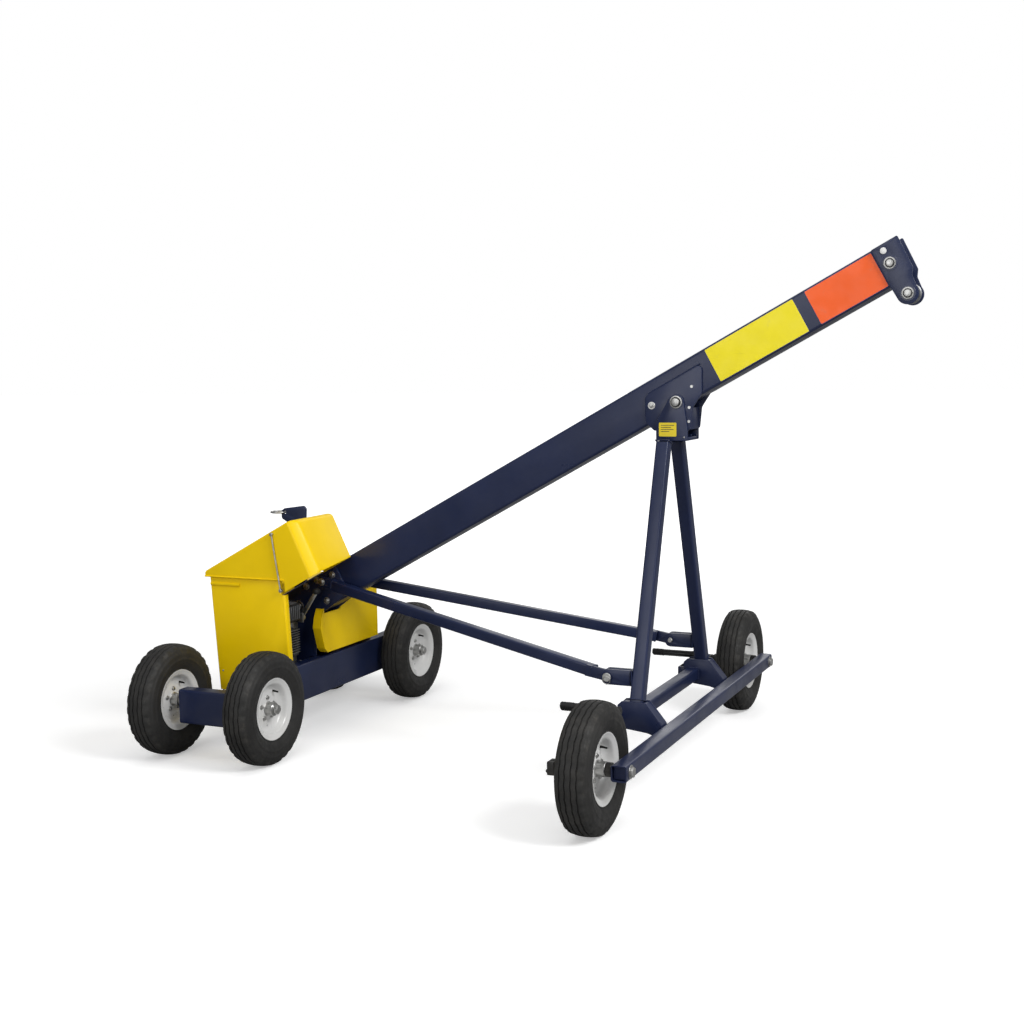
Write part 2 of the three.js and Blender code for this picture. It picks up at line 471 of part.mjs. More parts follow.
// ---- brake levers -------------------------------------------------------------------------------------
// A lever turns on a pin along X and lays its bar on the tread. The near one is on, the far one is swung inwards.
function brake(y, pivotY, barY, barZ, x0, x1) {
  return bar([-72, pivotY, 245], [-72, barY, barZ], 12, 26, [1, 0, 0], 0)
    .add(rod("x", -119, -62, pivotY, 245, 8, 12))
    .add(rod("x", -83, -60, pivotY, 245, 17, 12))
    .add(bar([x0, barY, barZ], [x1, barY, barZ], 26, 20, [0, Math.sin(y), Math.cos(y)], 0));
}
add("brake_lever_near", brake(0.908, BRAKE_PIVOT[0], -659.5, 338.2, -170, 30), BLACK);
add("brake_lever_far", brake(0.581, -BRAKE_PIVOT[0], 403, 303, -225, -60), BLACK);

export default crane;
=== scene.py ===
import bpy, bmesh, math, json, random
from mathutils import Vector, Matrix, Quaternion
from mathutils.geometry import tessellate_polygon

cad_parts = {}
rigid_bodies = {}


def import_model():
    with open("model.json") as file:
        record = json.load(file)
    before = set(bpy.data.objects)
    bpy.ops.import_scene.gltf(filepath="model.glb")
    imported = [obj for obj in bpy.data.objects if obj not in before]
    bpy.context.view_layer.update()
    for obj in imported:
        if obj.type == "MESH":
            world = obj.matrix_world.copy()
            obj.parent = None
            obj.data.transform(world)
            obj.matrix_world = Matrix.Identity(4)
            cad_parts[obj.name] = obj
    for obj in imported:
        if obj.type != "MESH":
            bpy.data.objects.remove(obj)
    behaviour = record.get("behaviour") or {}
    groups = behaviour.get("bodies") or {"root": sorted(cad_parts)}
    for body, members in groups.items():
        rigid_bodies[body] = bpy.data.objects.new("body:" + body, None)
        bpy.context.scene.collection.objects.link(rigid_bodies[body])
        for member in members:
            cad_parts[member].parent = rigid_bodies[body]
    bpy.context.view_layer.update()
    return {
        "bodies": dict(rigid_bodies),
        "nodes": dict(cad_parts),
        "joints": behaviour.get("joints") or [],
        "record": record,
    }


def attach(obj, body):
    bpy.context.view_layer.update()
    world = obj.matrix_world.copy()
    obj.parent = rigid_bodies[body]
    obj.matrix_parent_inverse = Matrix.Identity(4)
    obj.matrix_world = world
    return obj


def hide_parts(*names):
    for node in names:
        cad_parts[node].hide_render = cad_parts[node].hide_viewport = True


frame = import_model()

# The crane's own measures, in millimetres. x = 0 is the front wheels' middle plane, moved by DX in the part's frame.
DX = 505.2
ANG = math.radians(28.5)
C, S = math.cos(ANG), math.sin(ANG)
MIDZ = 1312.5
random.seed(7)

W = Matrix.Translation((DX, 0, 0))                       # crane mm -> row mm
BOOM = W @ Matrix.Translation((0, 0, MIDZ)) @ Matrix(((C, 0, -S, 0), (0, 1, 0, 0), (S, 0, C, 0), (0, 0, 0, 1)))
MM = Matrix.Scale(0.001, 4)


def on_boom(s, t):
    return (s * C - t * S, MIDZ + s * S + t * C)


# ------------------------------------------------------------------------------------------ materials
def new_mat(name):
    m = bpy.data.materials.new(name)
    m.use_nodes = True
    nt = m.node_tree
    b = nt.nodes["Principled BSDF"]
    return m, nt, b


def lk(nt, a, b):
    nt.links.new(a, b)


def noise(nt, co, scale, detail=4.0, rough=0.55):
    n = nt.nodes.new("ShaderNodeTexNoise")
    n.inputs["Scale"].default_value = scale
    n.inputs["Detail"].default_value = detail
    n.inputs["Roughness"].default_value = rough
    lk(nt, co, n.inputs["Vector"])
    return n.outputs["Fac"]


def ramp(nt, fac, a, b, va=0.0, vb=1.0):
    n = nt.nodes.new("ShaderNodeMapRange")
    n.interpolation_type = "SMOOTHSTEP"
    n.inputs["From Min"].default_value = a
    n.inputs["From Max"].default_value = b
    n.inputs["To Min"].default_value = va
    n.inputs["To Max"].default_value = vb
    lk(nt, fac, n.inputs["Value"])
    return n.outputs["Result"]


def mixc(nt, fac, a, b):
    n = nt.nodes.new("ShaderNodeMix")
    n.data_type = "RGBA"
    if isinstance(fac, (int, float)):
        n.inputs[0].default_value = fac
    else:
        lk(nt, fac, n.inputs[0])
    for sock, v in ((n.inputs[6], a), (n.inputs[7], b)):
        if isinstance(v, (tuple, list)):
            sock.default_value = (*v[:3], 1.0)
        else:
            lk(nt, v, sock)
    return n.outputs[2]


def mul(nt, a, b, op="MULTIPLY"):
    n = nt.nodes.new("ShaderNodeMath")
    n.operation = op
    for sock, v in ((n.inputs[0], a), (n.inputs[1], b)):
        if isinstance(v, (int, float)):
            sock.default_value = v
        else:
            lk(nt, v, sock)
    return n.outputs[0]


def bump(nt, bsdf, height, strength, dist=0.001, prev=None):
    n = nt.nodes.new("ShaderNodeBump")
    n.inputs["Strength"].default_value = strength
    n.inputs["Distance"].default_value = dist
    lk(nt, height, n.inputs["Height"])
    if prev is not None:
        lk(nt, prev, n.inputs["Normal"])
    lk(nt, n.outputs["Normal"], bsdf.inputs["Normal"])
    return n.outputs["Normal"]


def coords(nt):
    n = nt.nodes.new("ShaderNodeTexCoord")
    return n.outputs["Object"]


def paint(name, rgb, rough=0.36, coat=0.25, var=0.16, chip=(0.30, 0.29, 0.28), chips=0.55, dust=(0.36, 0.33, 0.28), dust_top=0.30,
          dust_amt=0.35, peel=0.10, dents=0.0, metallic=0.0, spec=0.5):
    m, nt, b = new_mat(name)
    co = coords(nt)
    dark = tuple(v * (1 - var) for v in rgb)
    light = tuple(min(1.0, v * (1 + var) + 0.002) for v in rgb)
    broad = ramp(nt, noise(nt, co, 3.2, 5.0), 0.3, 0.7)
    col = mixc(nt, broad, dark, light)
    speck = ramp(nt, noise(nt, co, 45.0, 3.0), 0.35, 0.65)
    col = mixc(nt, mul(nt, speck, 0.10), col, dark)
    # thin scratches, drawn out along one direction
    mp = nt.nodes.new("ShaderNodeMapping")
    mp.inputs["Scale"].default_value = (9.0, 160.0, 140.0)
    mp.inputs["Rotation"].default_value = (0.3, 0.9, 0.4)
    lk(nt, co, mp.inputs["Vector"])
    scr = ramp(nt, noise(nt, mp.outputs["Vector"], 1.0, 2.0), 0.70, 0.76)
    col = mixc(nt, mul(nt, scr, 0.16), col, light if sum(rgb) < 1.0 else dark)
    # chips on edges that the mesh marks
    at = nt.nodes.new("ShaderNodeAttribute")
    at.attribute_name = "edge"
    chipn = ramp(nt, noise(nt, co, 85.0, 5.0, 0.7), 0.60, 0.66)
    wear = mul(nt, mul(nt, at.outputs["Fac"], chipn), chips)
    col = mixc(nt, wear, col, chip)
    # settled dust near the ground
    sp = nt.nodes.new("ShaderNodeSeparateXYZ")
    lk(nt, co, sp.inputs[0])
    low = ramp(nt, sp.outputs[2], 0.02, dust_top, 1.0, 0.0)
    dn = ramp(nt, noise(nt, co, 11.0, 6.0), 0.35, 0.75)
    dfac = mul(nt, mul(nt, low, dn), dust_amt)
    col = mixc(nt, dfac, col, dust)
    lk(nt, col, b.inputs["Base Color"])
    rr = ramp(nt, noise(nt, co, 7.0, 4.0), 0.3, 0.7, rough - 0.06, rough + 0.08)
    rr = mul(nt, rr, mul(nt, dfac, 0.35), "ADD")
    rr = mul(nt, rr, mul(nt, wear, 0.25), "ADD")
    lk(nt, rr, b.inputs["Roughness"])
    b.inputs["Metallic"].default_value = metallic
    b.inputs["Coat Weight"].default_value = coat
    b.inputs["Coat Roughness"].default_value = 0.12
    b.inputs["Specular IOR Level"].default_value = spec
    n1 = bump(nt, b, noise(nt, co, 420.0, 2.0), peel, 0.0006)
    if dents:
        n1 = bump(nt, b, noise(nt, co, 4.5, 2.0), dents, 0.01, n1)
    bump(nt, b, wear, 0.25, -0.0004, n1)
    return m


def metal(name, rgb, rough=0.32, var=0.12, grain=160.0, gb=0.12, streak=None, metallic=1.0):
    m, nt, b = new_mat(name)
    co = coords(nt)
    base = co
    if streak:
        mp = nt.nodes.new("ShaderNodeMapping")
        mp.inputs["Scale"].default_value = streak
        lk(nt, co, mp.inputs["Vector"])
        base = mp.outputs["Vector"]
    v = ramp(nt, noise(nt, base, grain * 0.2, 5.0), 0.3, 0.7)
    col = mixc(nt, v, tuple(c * (1 - var) for c in rgb), tuple(min(1, c * (1 + var)) for c in rgb))
    stain = ramp(nt, noise(nt, co, 14.0, 5.0), 0.58, 0.75)
    col = mixc(nt, mul(nt, stain, 0.30), col, (0.20, 0.17, 0.13))
    lk(nt, col, b.inputs["Base Color"])
    b.inputs["Metallic"].default_value = metallic
    r = ramp(nt, noise(nt, base, grain * 0.4, 4.0), 0.3, 0.7, rough - 0.08, rough + 0.10)
    r = mul(nt, r, mul(nt, stain, 0.15), "ADD")
    lk(nt, r, b.inputs["Roughness"])
    bump(nt, b, noise(nt, base, grain, 3.0), gb, 0.0005)
    return m


def rubber(name, rgb=(0.0170, 0.0168, 0.0162), dusty=0.14):
    m, nt, b = new_mat(name)
    co = coords(nt)
    v = ramp(nt, noise(nt, co, 9.0, 6.0), 0.3, 0.7)
    col = mixc(nt, v, tuple(c * 0.8 for c in rgb), tuple(c * 1.35 for c in rgb))
    at = nt.nodes.new("ShaderNodeAttribute")
    at.attribute_name = "edge"
    dn = ramp(nt, noise(nt, co, 26.0, 7.0, 0.65), 0.40, 0.72)
    col = mixc(nt, mul(nt, mul(nt, at.outputs["Fac"], dn), dusty), col, (0.20, 0.18, 0.155))
    haze = ramp(nt, noise(nt, co, 5.0, 3.0), 0.45, 0.75)
    col = mixc(nt, mul(nt, haze, 0.08), col, (0.09, 0.086, 0.08))
    lk(nt, col, b.inputs["Base Color"])
    lk(nt, ramp(nt, noise(nt, co, 40.0, 4.0), 0.3, 0.7, 0.55, 0.78), b.inputs["Roughness"])
    b.inputs["Specular IOR Level"].default_value = 0.36
    n1 = bump(nt, b, noise(nt, co, 650.0, 3.0), 0.22, 0.0005)
    return m


def vinyl(name, rgb, rough=0.34, glow=0.0):
    m, nt, b = new_mat(name)
    b.inputs["Specular IOR Level"].default_value = 0.30
    # The emission is a painted glow: the film gives off light in its own colour, though it is no lamp.
    b.inputs["Emission Color"].default_value = (*rgb, 1.0)
    b.inputs["Emission Strength"].default_value = glow
    co = coords(nt)
    v = ramp(nt, noise(nt, co, 8.0, 4.0), 0.3, 0.7)
    col = mixc(nt, v, tuple(c * 0.93 for c in rgb), rgb)
    mp = nt.nodes.new("ShaderNodeMapping")
    mp.inputs["Scale"].default_value = (14.0, 200.0, 260.0)
    mp.inputs["Rotation"].default_value = (0.0, 0.5, 0.2)
    lk(nt, co, mp.inputs["Vector"])
    sc = ramp(nt, noise(nt, mp.outputs["Vector"], 1.0, 3.0), 0.66, 0.74)
    col = mixc(nt, mul(nt, sc, 0.20), col, tuple(c * 0.45 for c in rgb))
    grime = ramp(nt, noise(nt, co, 22.0, 6.0), 0.62, 0.80)
    col = mixc(nt, mul(nt, grime, 0.25), col, (0.25, 0.22, 0.17))
    lk(nt, col, b.inputs["Base Color"])
    lk(nt, ramp(nt, noise(nt, co, 18.0, 4.0), 0.3, 0.7, rough - 0.05, rough + 0.12), b.inputs["Roughness"])
    # the film's fine bead pattern
    vo = nt.nodes.new("ShaderNodeTexVoronoi")
    vo.inputs["Scale"].default_value = 700.0
    lk(nt, co, vo.inputs["Vector"])
    bump(nt, b, vo.outputs["Distance"], 0.05, 0.0003)
    return m


NAVY = paint("navy_paint", (0.0088, 0.0160, 0.056), rough=0.33, coat=0.10, var=0.14, chip=(0.10, 0.10, 0.12), chips=0.4, spec=0.36, dust_amt=0.16,
             dust=(0.16, 0.15, 0.14))
YELLOW = paint("yellow_coat", (0.96, 0.645, 0.0), rough=0.38, coat=0.03, var=0.06, chip=(0.42, 0.27, 0.03), chips=0.30, spec=0.20,
               dust=(0.52, 0.33, 0.03), dust_amt=0.22, dust_top=0.36, dents=0.16)
WHITE = paint("rim_paint", (0.74, 0.74, 0.73), rough=0.30, coat=0.2, var=0.05, chip=(0.35, 0.25, 0.18), chips=0.7,
              dust=(0.45, 0.41, 0.35), dust_amt=0.28, dust_top=0.30)
BLACK = paint("black_steel", (0.008, 0.008, 0.0085), rough=0.42, coat=0.08, var=0.3, chip=(0.16, 0.155, 0.15), chips=0.4, spec=0.35)
ZINC = metal("zinc_steel", (0.47, 0.47, 0.46), rough=0.36)
ALLOY = metal("cast_alloy", (0.21, 0.215, 0.22), rough=0.50, grain=260.0, gb=0.35)
ROPE = metal("wire_rope", (0.34, 0.34, 0.33), rough=0.45, grain=420.0, gb=0.4)
RUBBER = rubber("tyre_rubber")
PLASTIC = rubber("black_plastic", (0.010, 0.010, 0.0105), 0.06)
# The yellow and orange decals carry a small painted glow through their emission.
DEC_Y = vinyl("decal_yellow", (0.86, 0.73, 0.006), glow=0.08)
DEC_O = vinyl("decal_orange", (0.86, 0.110, 0.010), glow=0.10)
DEC_B = vinyl("decal_border", (0.030, 0.055, 0.22))
LABEL = vinyl("label_yellow", (0.80, 0.62, 0.02))
LABEL_K = vinyl("label_ink", (0.03, 0.03, 0.03))
RED = paint("red_knob", (0.45, 0.012, 0.008), rough=0.3, coat=0.4, chips=0.0, dust_amt=0.0)


# ------------------------------------------------------------------------------------------ mesh helpers
def _bevel(b, width, seg, ang):
    if width <= 0:
        return
    layer = b.faces.layers.float.get("edge") or b.faces.layers.float.new("edge")
    es = [e for e in b.edges if len(e.link_faces) == 2 and e.calc_face_angle(0.0) > math.radians(ang)]
    if not es:
        return
    r = bmesh.ops.bevel(b, geom=es, offset=width, offset_type="OFFSET", segments=seg, profile=0.5, affect="EDGES", clamp_overlap=True)
    for f in r["faces"]:
        f[layer] = 1.0


class Piece:
    """One object, gathered from closed shells given in crane millimetres."""

    def __init__(self, name, mat, body, nodes=(), frame=W, smooth=32.0):
        self.name, self.mats, self.body, self.nodes, self.frame, self.smooth = name, [mat], body, nodes, frame, smooth
        self.bm = bmesh.new()
        self.bm.faces.layers.float.new("edge")

    def add(self, b, bevel=0.0, seg=2, ang=30.0, mat=None, frame=None):
        frame = frame or self.frame
        if not b.faces.layers.float.get("edge"):
            b.faces.layers.float.new("edge")
        bmesh.ops.recalc_face_normals(b, faces=b.faces)
        _bevel(b, bevel, seg, ang)
        idx = 0
        if mat is not None:
            if mat not in self.mats:
                self.mats.append(mat)
            idx = self.mats.index(mat)
        for f in b.faces:
            f.material_index = idx
        b.transform(MM @ frame)
        if frame.determinant() < 0:
            bmesh.ops.reverse_faces(b, faces=b.faces)
        me = bpy.data.meshes.new("tmp")
        b.to_mesh(me)
        b.free()
        self.bm.from_mesh(me)
        bpy.data.meshes.remove(me)
        return self

    def done(self):
        bm = self.bm
        for f in bm.faces:
            f.smooth = True
        lim = math.radians(self.smooth)
        for e in bm.edges:
            if len(e.link_faces) != 2 or e.calc_face_angle(0.0) > lim:
                e.smooth = False
        me = bpy.data.meshes.new(self.name)
        bm.to_mesh(me)
        bm.free()
        o = bpy.data.objects.new(self.name, me)
        bpy.context.collection.objects.link(o)
        for m in self.mats:
            me.materials.append(m)
        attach(o, self.body)
        if self.nodes:
            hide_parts(*self.nodes)
        return o


def b_poly(outline, y0, y1, holes=()):
    """A plate: outline and holes in (x, z), thick from y0 to y1."""
    loops = [list(outline)] + [list(h) for h in holes]
    b = bmesh.new()
    rows = []
    for loop in loops:
        lo = [b.verts.new((x, y0, z)) for x, z in loop]
        hi = [b.verts.new((x, y1, z)) for x, z in loop]
        rows.append((lo, hi))
        n = len(loop)
        for i in range(n):
            b.faces.new((lo[i], lo[(i + 1) % n], hi[(i + 1) % n], hi[i]))
    if len(loops) == 1:
        b.faces.new(rows[0][0])
        b.faces.new(rows[0][1])
    else:
        tri = tessellate_polygon([[Vector((x, z, 0)) for x, z in loop] for loop in loops])
        lo = [v for r in rows for v in r[0]]
        hi = [v for r in rows for v in r[1]]
        for t in tri:
            if len(set(t)) == 3:
                b.faces.new([lo[i] for i in t])
                b.faces.new([hi[i] for i in t])
    bmesh.ops.recalc_face_normals(b, faces=b.faces)
    return b


def fillet(points, r, seg=4):
    """Rounds the corners of a closed polygon. r is one radius or one for each corner."""
    n = len(points)
    rs = [r] * n if isinstance(r, (int, float)) else list(r)
    out = []
    for i, p in enumerate(points):
        P = Vector(p); A = Vector(points[i - 1]); B = Vector(points[(i + 1) % n])
        a, c = (A - P), (B - P)
        la, lc = a.length, c.length
        if rs[i] <= 0 or la < 1e-6 or lc < 1e-6:
            out.append(tuple(P)); continue
        a.normalize(); c.normalize()
        ang = math.acos(max(-1, min(1, a.dot(c))))
        if ang > math.radians(176):
            out.append(tuple(P)); continue
        d = min(rs[i] / math.tan(ang / 2), la * 0.48, lc * 0.48)
        rr = d * math.tan(ang / 2)
        centre = P + (a + c).normalized() * (rr / math.sin(ang / 2))
        s = (P + a * d) - centre
        e = (P + c * d) - centre
        tot = s.angle(e) if s.length > 1e-9 and e.length > 1e-9 else 0
        for k in range(seg + 1):
            t = k / seg
            if tot < 1e-6:
                v = s
            else:
                v = (math.sin((1 - t) * tot) * s + math.sin(t * tot) * e) / math.sin(tot)
            out.append(tuple(centre + v))
    return out


def circle(x, z, r, n=24, a0=0.0):
    return [(x + r * math.cos(a0 + 2 * math.pi * i / n), z + r * math.sin(a0 + 2 * math.pi * i / n)) for i in range(n)]


def b_box(x0, x1, y0, y1, z0, z1):
    b = bmesh.new()
    bmesh.ops.create_cube(b, size=1.0)
    b.transform(Matrix.Translation(((x0 + x1) / 2, (y0 + y1) / 2, (z0 + z1) / 2)) @ Matrix.Diagonal((x1 - x0, y1 - y0, z1 - z0, 1)))
    return b


def axis_matrix(axis):
    """Turns local +Z to the given direction."""
    v = {"x": (1, 0, 0), "y": (0, 1, 0), "z": (0, 0, 1)}.get(axis, axis) if isinstance(axis, str) else axis
    return Vector((0, 0, 1)).rotation_difference(Vector(v).normalized()).to_matrix().to_4x4()


def b_cyl(centre, axis, r, length, n=24, r2=None, phase=0.0):
    """A cylinder (or cone) that starts at centre and runs along axis."""
    b = bmesh.new()
    r2 = r if r2 is None else r2
    lo = [b.verts.new((r * math.cos(phase + 2 * math.pi * i / n), r * math.sin(phase + 2 * math.pi * i / n), 0)) for i in range(n)]
    hi = [b.verts.new((r2 * math.cos(phase + 2 * math.pi * i / n), r2 * math.sin(phase + 2 * math.pi * i / n), length)) for i in range(n)]
    for i in range(n):
        b.faces.new((lo[i], lo[(i + 1) % n], hi[(i + 1) % n], hi[i]))
    b.faces.new(lo[::-1])
    b.faces.new(hi)
    b.transform(Matrix.Translation(centre) @ axis_matrix(axis))
    return b


def b_lathe(profile, centre, axis, n=48, wobble=None, tag=None):
    """Turns a profile of (r, h) about an axis. A profile that ends on r = 0 at both ends is capped; any other closes on itself."""
    b = bmesh.new()
    capped = profile[0][0] < 1e-6 and profile[-1][0] < 1e-6
    rings = []
    for k in range(n):
        a = 2 * math.pi * k / n
        ring = []
        for j, (r, h) in enumerate(profile):
            if capped and j in (0, len(profile) - 1):
                ring.append(None); continue
            dr, dh = wobble(j, k) if wobble else (0, 0)
            ring.append(b.verts.new(((r + dr) * math.cos(a), (r + dr) * math.sin(a), h + dh)))
        rings.append(ring)
    m = len(profile)
    if capped:
        p0 = b.verts.new((0, 0, profile[0][1])); p1 = b.verts.new((0, 0, profile[-1][1]))
        for k in range(n):
            A, B = rings[k], rings[(k + 1) % n]
            b.faces.new((p0, A[1], B[1]))
            for j in range(1, m - 2):
                b.faces.new((A[j], A[j + 1], B[j + 1], B[j]))
            b.faces.new((A[m - 2], p1, B[m - 2]))
    else:
        for k in range(n):
            A, B = rings[k], rings[(k + 1) % n]
            for j in range(m):
                b.faces.new((A[j], A[(j + 1) % m], B[(j + 1) % m], B[j]))
    if tag:
        layer = b.faces.layers.float.new("edge")
        for f in b.faces:
            c = f.calc_center_median()
            f[layer] = tag(math.hypot(c.x, c.y), c.z)
    b.transform(Matrix.Translation(centre) @ axis_matrix(axis))
    bmesh.ops.recalc_face_normals(b, faces=b.faces)
    return b


def rrect(w, h, r, seg=4):
    return fillet([(-w / 2, -h / 2), (w / 2, -h / 2), (w / 2, h / 2), (-w / 2, h / 2)], r, seg)


def b_tube(p, q, w, h, r=5.0, wall=4.0, up=(0, 0, 1), ends=(None, None), cap=False, seg=4):
    """A rounded rectangular tube from p to q. ends holds (point, normal) planes that cut it; cap closes it as a solid bar."""
    P, Q = Vector(p), Vector(q)
    u = (Q - P).normalized()
    side = Vector(up).cross(u).normalized()
    top = u.cross(side)
    b = bmesh.new()

    def loop(sec, origin, plane):
        out = []
        for x, y in sec:
            v = origin + side * x + top * y
            if plane:
                po, no = Vector(plane[0]), Vector(plane[1])
                v = v + u * ((po - v).dot(no) / u.dot(no))
            out.append(b.verts.new(v))
        return out

    outer = rrect(w, h, r, seg)
    o0, o1 = loop(outer, P, ends[0]), loop(outer, Q, ends[1])
    n = len(outer)
    for i in range(n):
        b.faces.new((o0[i], o0[(i + 1) % n], o1[(i + 1) % n], o1[i]))
    if cap or wall <= 0:
        b.faces.new(o0[::-1]); b.faces.new(o1)
    else:
        inner = rrect(w - 2 * wall, h - 2 * wall, max(r - wall, 0.6), seg)
        i0, i1 = loop(inner, P, ends[0]), loop(inner, Q, ends[1])
        for i in range(n):
            b.faces.new((i0[i], i1[i], i1[(i + 1) % n], i0[(i + 1) % n]))
            b.faces.new((o0[i], i0[i], i0[(i + 1) % n], o0[(i + 1) % n]))
            b.faces.new((o1[i], o1[(i + 1) % n], i1[(i + 1) % n], i1[i]))
    bmesh.ops.recalc_face_normals(b, faces=b.faces)
    return b


def smooth_path(points, r, seg=6):
    """Rounds the corners of an open polyline in space."""
    pts = [Vector(p) for p in points]
    out = [pts[0]]
    for i in range(1, len(pts) - 1):
        P, A, B = pts[i], pts[i - 1], pts[i + 1]
        a, c = (A - P), (B - P)
        la, lc = a.length, c.length
        a.normalize(); c.normalize()
        ang = a.angle(c)
        if ang > math.radians(175):
            out.append(P); continue
        d = min(r / math.tan(ang / 2), la * 0.49, lc * 0.49)
        for k in range(seg + 1):
            t = k / seg
            A2, B2 = P + a * d, P + c * d
            out.append(A2.lerp(P, t).lerp(P.lerp(B2, t), t))
    out.append(pts[-1])
    return out


def b_rod(points, r, n=12, radii=None, closed=False):
    """A round rod along a path, with flat ends."""
    pts = [Vector(p) for p in points]
    b = bmesh.new()
    m = len(pts)
    tang = []
    for i in range(m):
        if closed:
            t = pts[(i + 1) % m] - pts[i - 1]
        else:
            t = pts[min(i + 1, m - 1)] - pts[max(i - 1, 0)]
        tang.append(t.normalized())
    ref = Vector((0, 0, 1)) if abs(tang[0].z) < 0.9 else Vector((1, 0, 0))
    nrm = (ref - tang[0] * ref.dot(tang[0])).normalized()
    rings = []
    for i in range(m):
        if i:
            q = tang[i - 1].rotation_difference(tang[i])
            nrm = (q @ nrm)
            nrm = (nrm - tang[i] * nrm.dot(tang[i])).normalized()
        bn = tang[i].cross(nrm)
        rr = radii[i] if radii else r
        rings.append([b.verts.new(pts[i] + nrm * (rr * math.cos(2 * math.pi * k / n)) + bn * (rr * math.sin(2 * math.pi * k / n))) for k in range(n)])
    last = m if closed else m - 1
    for i in range(last):
        A, B = rings[i], rings[(i + 1) % m]
        for k in range(n):
            b.faces.new((A[k], A[(k + 1) % n], B[(k + 1) % n], B[k]))
    if not closed:
        b.faces.new(rings[0][::-1]); b.faces.new(rings[-1])
    bmesh.ops.recalc_face_normals(b, faces=b.faces)
    return b


def weld(piece, path, r=3.0, closed=False, frame=None):
    """A weld bead: overlapping ripples along a path."""
    pts = [Vector(p) for p in path]
    if closed:
        pts.append(pts[0])
    fine = []
    for a, c in zip(pts, pts[1:]):
        k = max(2, int((c - a).length / (r * 0.55)))
        fine += [a.lerp(c, i / k) for i in range(k)]
    fine.append(pts[-1])
    radii = [r * (0.88 + 0.20 * abs(math.sin(i * math.pi / 3.0)) + random.uniform(-0.05, 0.05)) for i in range(len(fine))]
    radii[0] *= 0.6; radii[-1] *= 0.6
    piece.add(b_rod(fine, r, 8, radii), frame=frame)


def ring_weld(piece, p, q, w, h, up, r=3.0, at=0.0, frame=None):
    """A bead round the end of a rectangular tube."""
    P, Q = Vector(p), Vector(q)
    u = (Q - P).normalized()
    side = Vector(up).cross(u).normalized(); top = u.cross(side)
    o = P + u * at
    weld(piece, [o + side * x + top * y for x, y in rrect(w, h, 5, 3)], r, True, frame)


def bolt(piece, pos, axis, r=7.0, head=6.0, washer=True, mat=None, frame=None, turn=0.0, stud=0.0):
    """A hexagon head on a washer, standing off a face at pos along axis."""
    p, a = Vector(pos), Vector(axis).normalized()
    mt = mat or ZINC
    if washer:
        piece.add(b_cyl(p, a, r * 1.35, 1.8, 24), 0.4, 1, mat=mt, frame=frame)
        p = p + a * 1.8
    piece.add(b_cyl(p, a, r, head, 6, phase=turn), 0.7, 2, mat=mt, frame=frame)
    if stud:
        piece.add(b_cyl(p + a * head, a, r * 0.52, stud, 14), 0.8, 1, mat=mt, frame=frame)


def rivet(piece, pos, axis, r=3.0, mat=None, frame=None):
    h = r * 0.55
    piece.add(b_lathe([(0, 0), (r, 0), (r * 0.95, h * 0.35), (r * 0.7, h * 0.75), (r * 0.35, h * 0.96), (0, h)], pos, axis, 14), mat=mat or ZINC, frame=frame)


def b_cut(b, *tools):
    """b without the tools' solids."""
    made = []
    for x in (b, *tools):
        bmesh.ops.recalc_face_normals(x, faces=x.faces)
        me = bpy.data.meshes.new("cut")
        x.to_mesh(me)
        x.free()
        o = bpy.data.objects.new("cut", me)
        bpy.context.collection.objects.link(o)
        made.append(o)
    for t in made[1:]:
        m = made[0].modifiers.new("cut", "BOOLEAN")
        m.operation, m.solver, m.object = "DIFFERENCE", "EXACT", t
    me = bpy.data.meshes.new_from_object(made[0].evaluated_get(bpy.context.evaluated_depsgraph_get()))
    out = bmesh.new()
    out.from_mesh(me)
    bpy.data.meshes.remove(me)
    for o in made:
        d = o.data
        bpy.data.objects.remove(o)
        bpy.data.meshes.remove(d)
    return out


def b_sheet(path, thick, lo, hi, plane="xy"):
    """Folded sheet: an open 2D path, thick to its left, that runs from lo to hi across its plane."""
    P = [Vector(p) for p in path]
    n = len(P)
    inner = []
    for i in range(n):
        a = (P[i] - P[i - 1]).normalized() if i else (P[1] - P[0]).normalized()
        c = (P[i + 1] - P[i]).normalized() if i < n - 1 else a
        na, nc = Vector((-a.y, a.x)), Vector((-c.y, c.x))
        m = (na + nc).normalized()
        inner.append(P[i] + m * (thick / max(0.3, m.dot(na))))
    at = {"xy": lambda p, h: (p.x, p.y, h), "yz": lambda p, h: (h, p.x, p.y), "xz": lambda p, h: (p.x, h, p.y)}[plane]
    b = bmesh.new()
    rows = [[b.verts.new(at(p, h)) for p in line] for line in (P, inner) for h in (lo, hi)]
    o0, o1, i0, i1 = rows
    for i in range(n - 1):
        b.faces.new((o0[i], o0[i + 1], o1[i + 1], o1[i]))
        b.faces.new((i0[i], i1[i], i1[i + 1], i0[i + 1]))
        b.faces.new((o0[i], i0[i], i0[i + 1], o0[i + 1]))
        b.faces.new((o1[i], o1[i + 1], i1[i + 1], i1[i]))
    for i in (0, n - 1):
        b.faces.new((o0[i], o1[i], i1[i], i0[i]))
    bmesh.ops.recalc_face_normals(b, faces=b.faces)
    return b


def fillet_open(points, r, seg=4):
    closed = fillet(points, [0] + ([r] * (len(points) - 2) if isinstance(r, (int, float)) else list(r)) + [0], seg)
    return closed


def pin_head(piece, pos, axis, r, rw, out, frame=None):
    """A washer, a spring clip and the pin's chamfered end."""
    a, P = Vector(axis).normalized(), Vector(pos)
    piece.add(b_cyl(P, a, rw, 3.0, 36), 0.8, 2, mat=ZINC, frame=frame)
    piece.add(b_cyl(P + a * 3.0, a, r * 1.30, 1.5, 28), 0.3, 1, mat=BLACK, frame=frame)
    piece.add(b_cyl(P + a * 2.5, a, r, out - 2.5, 32), 1.6, 2, mat=ZINC, frame=frame)


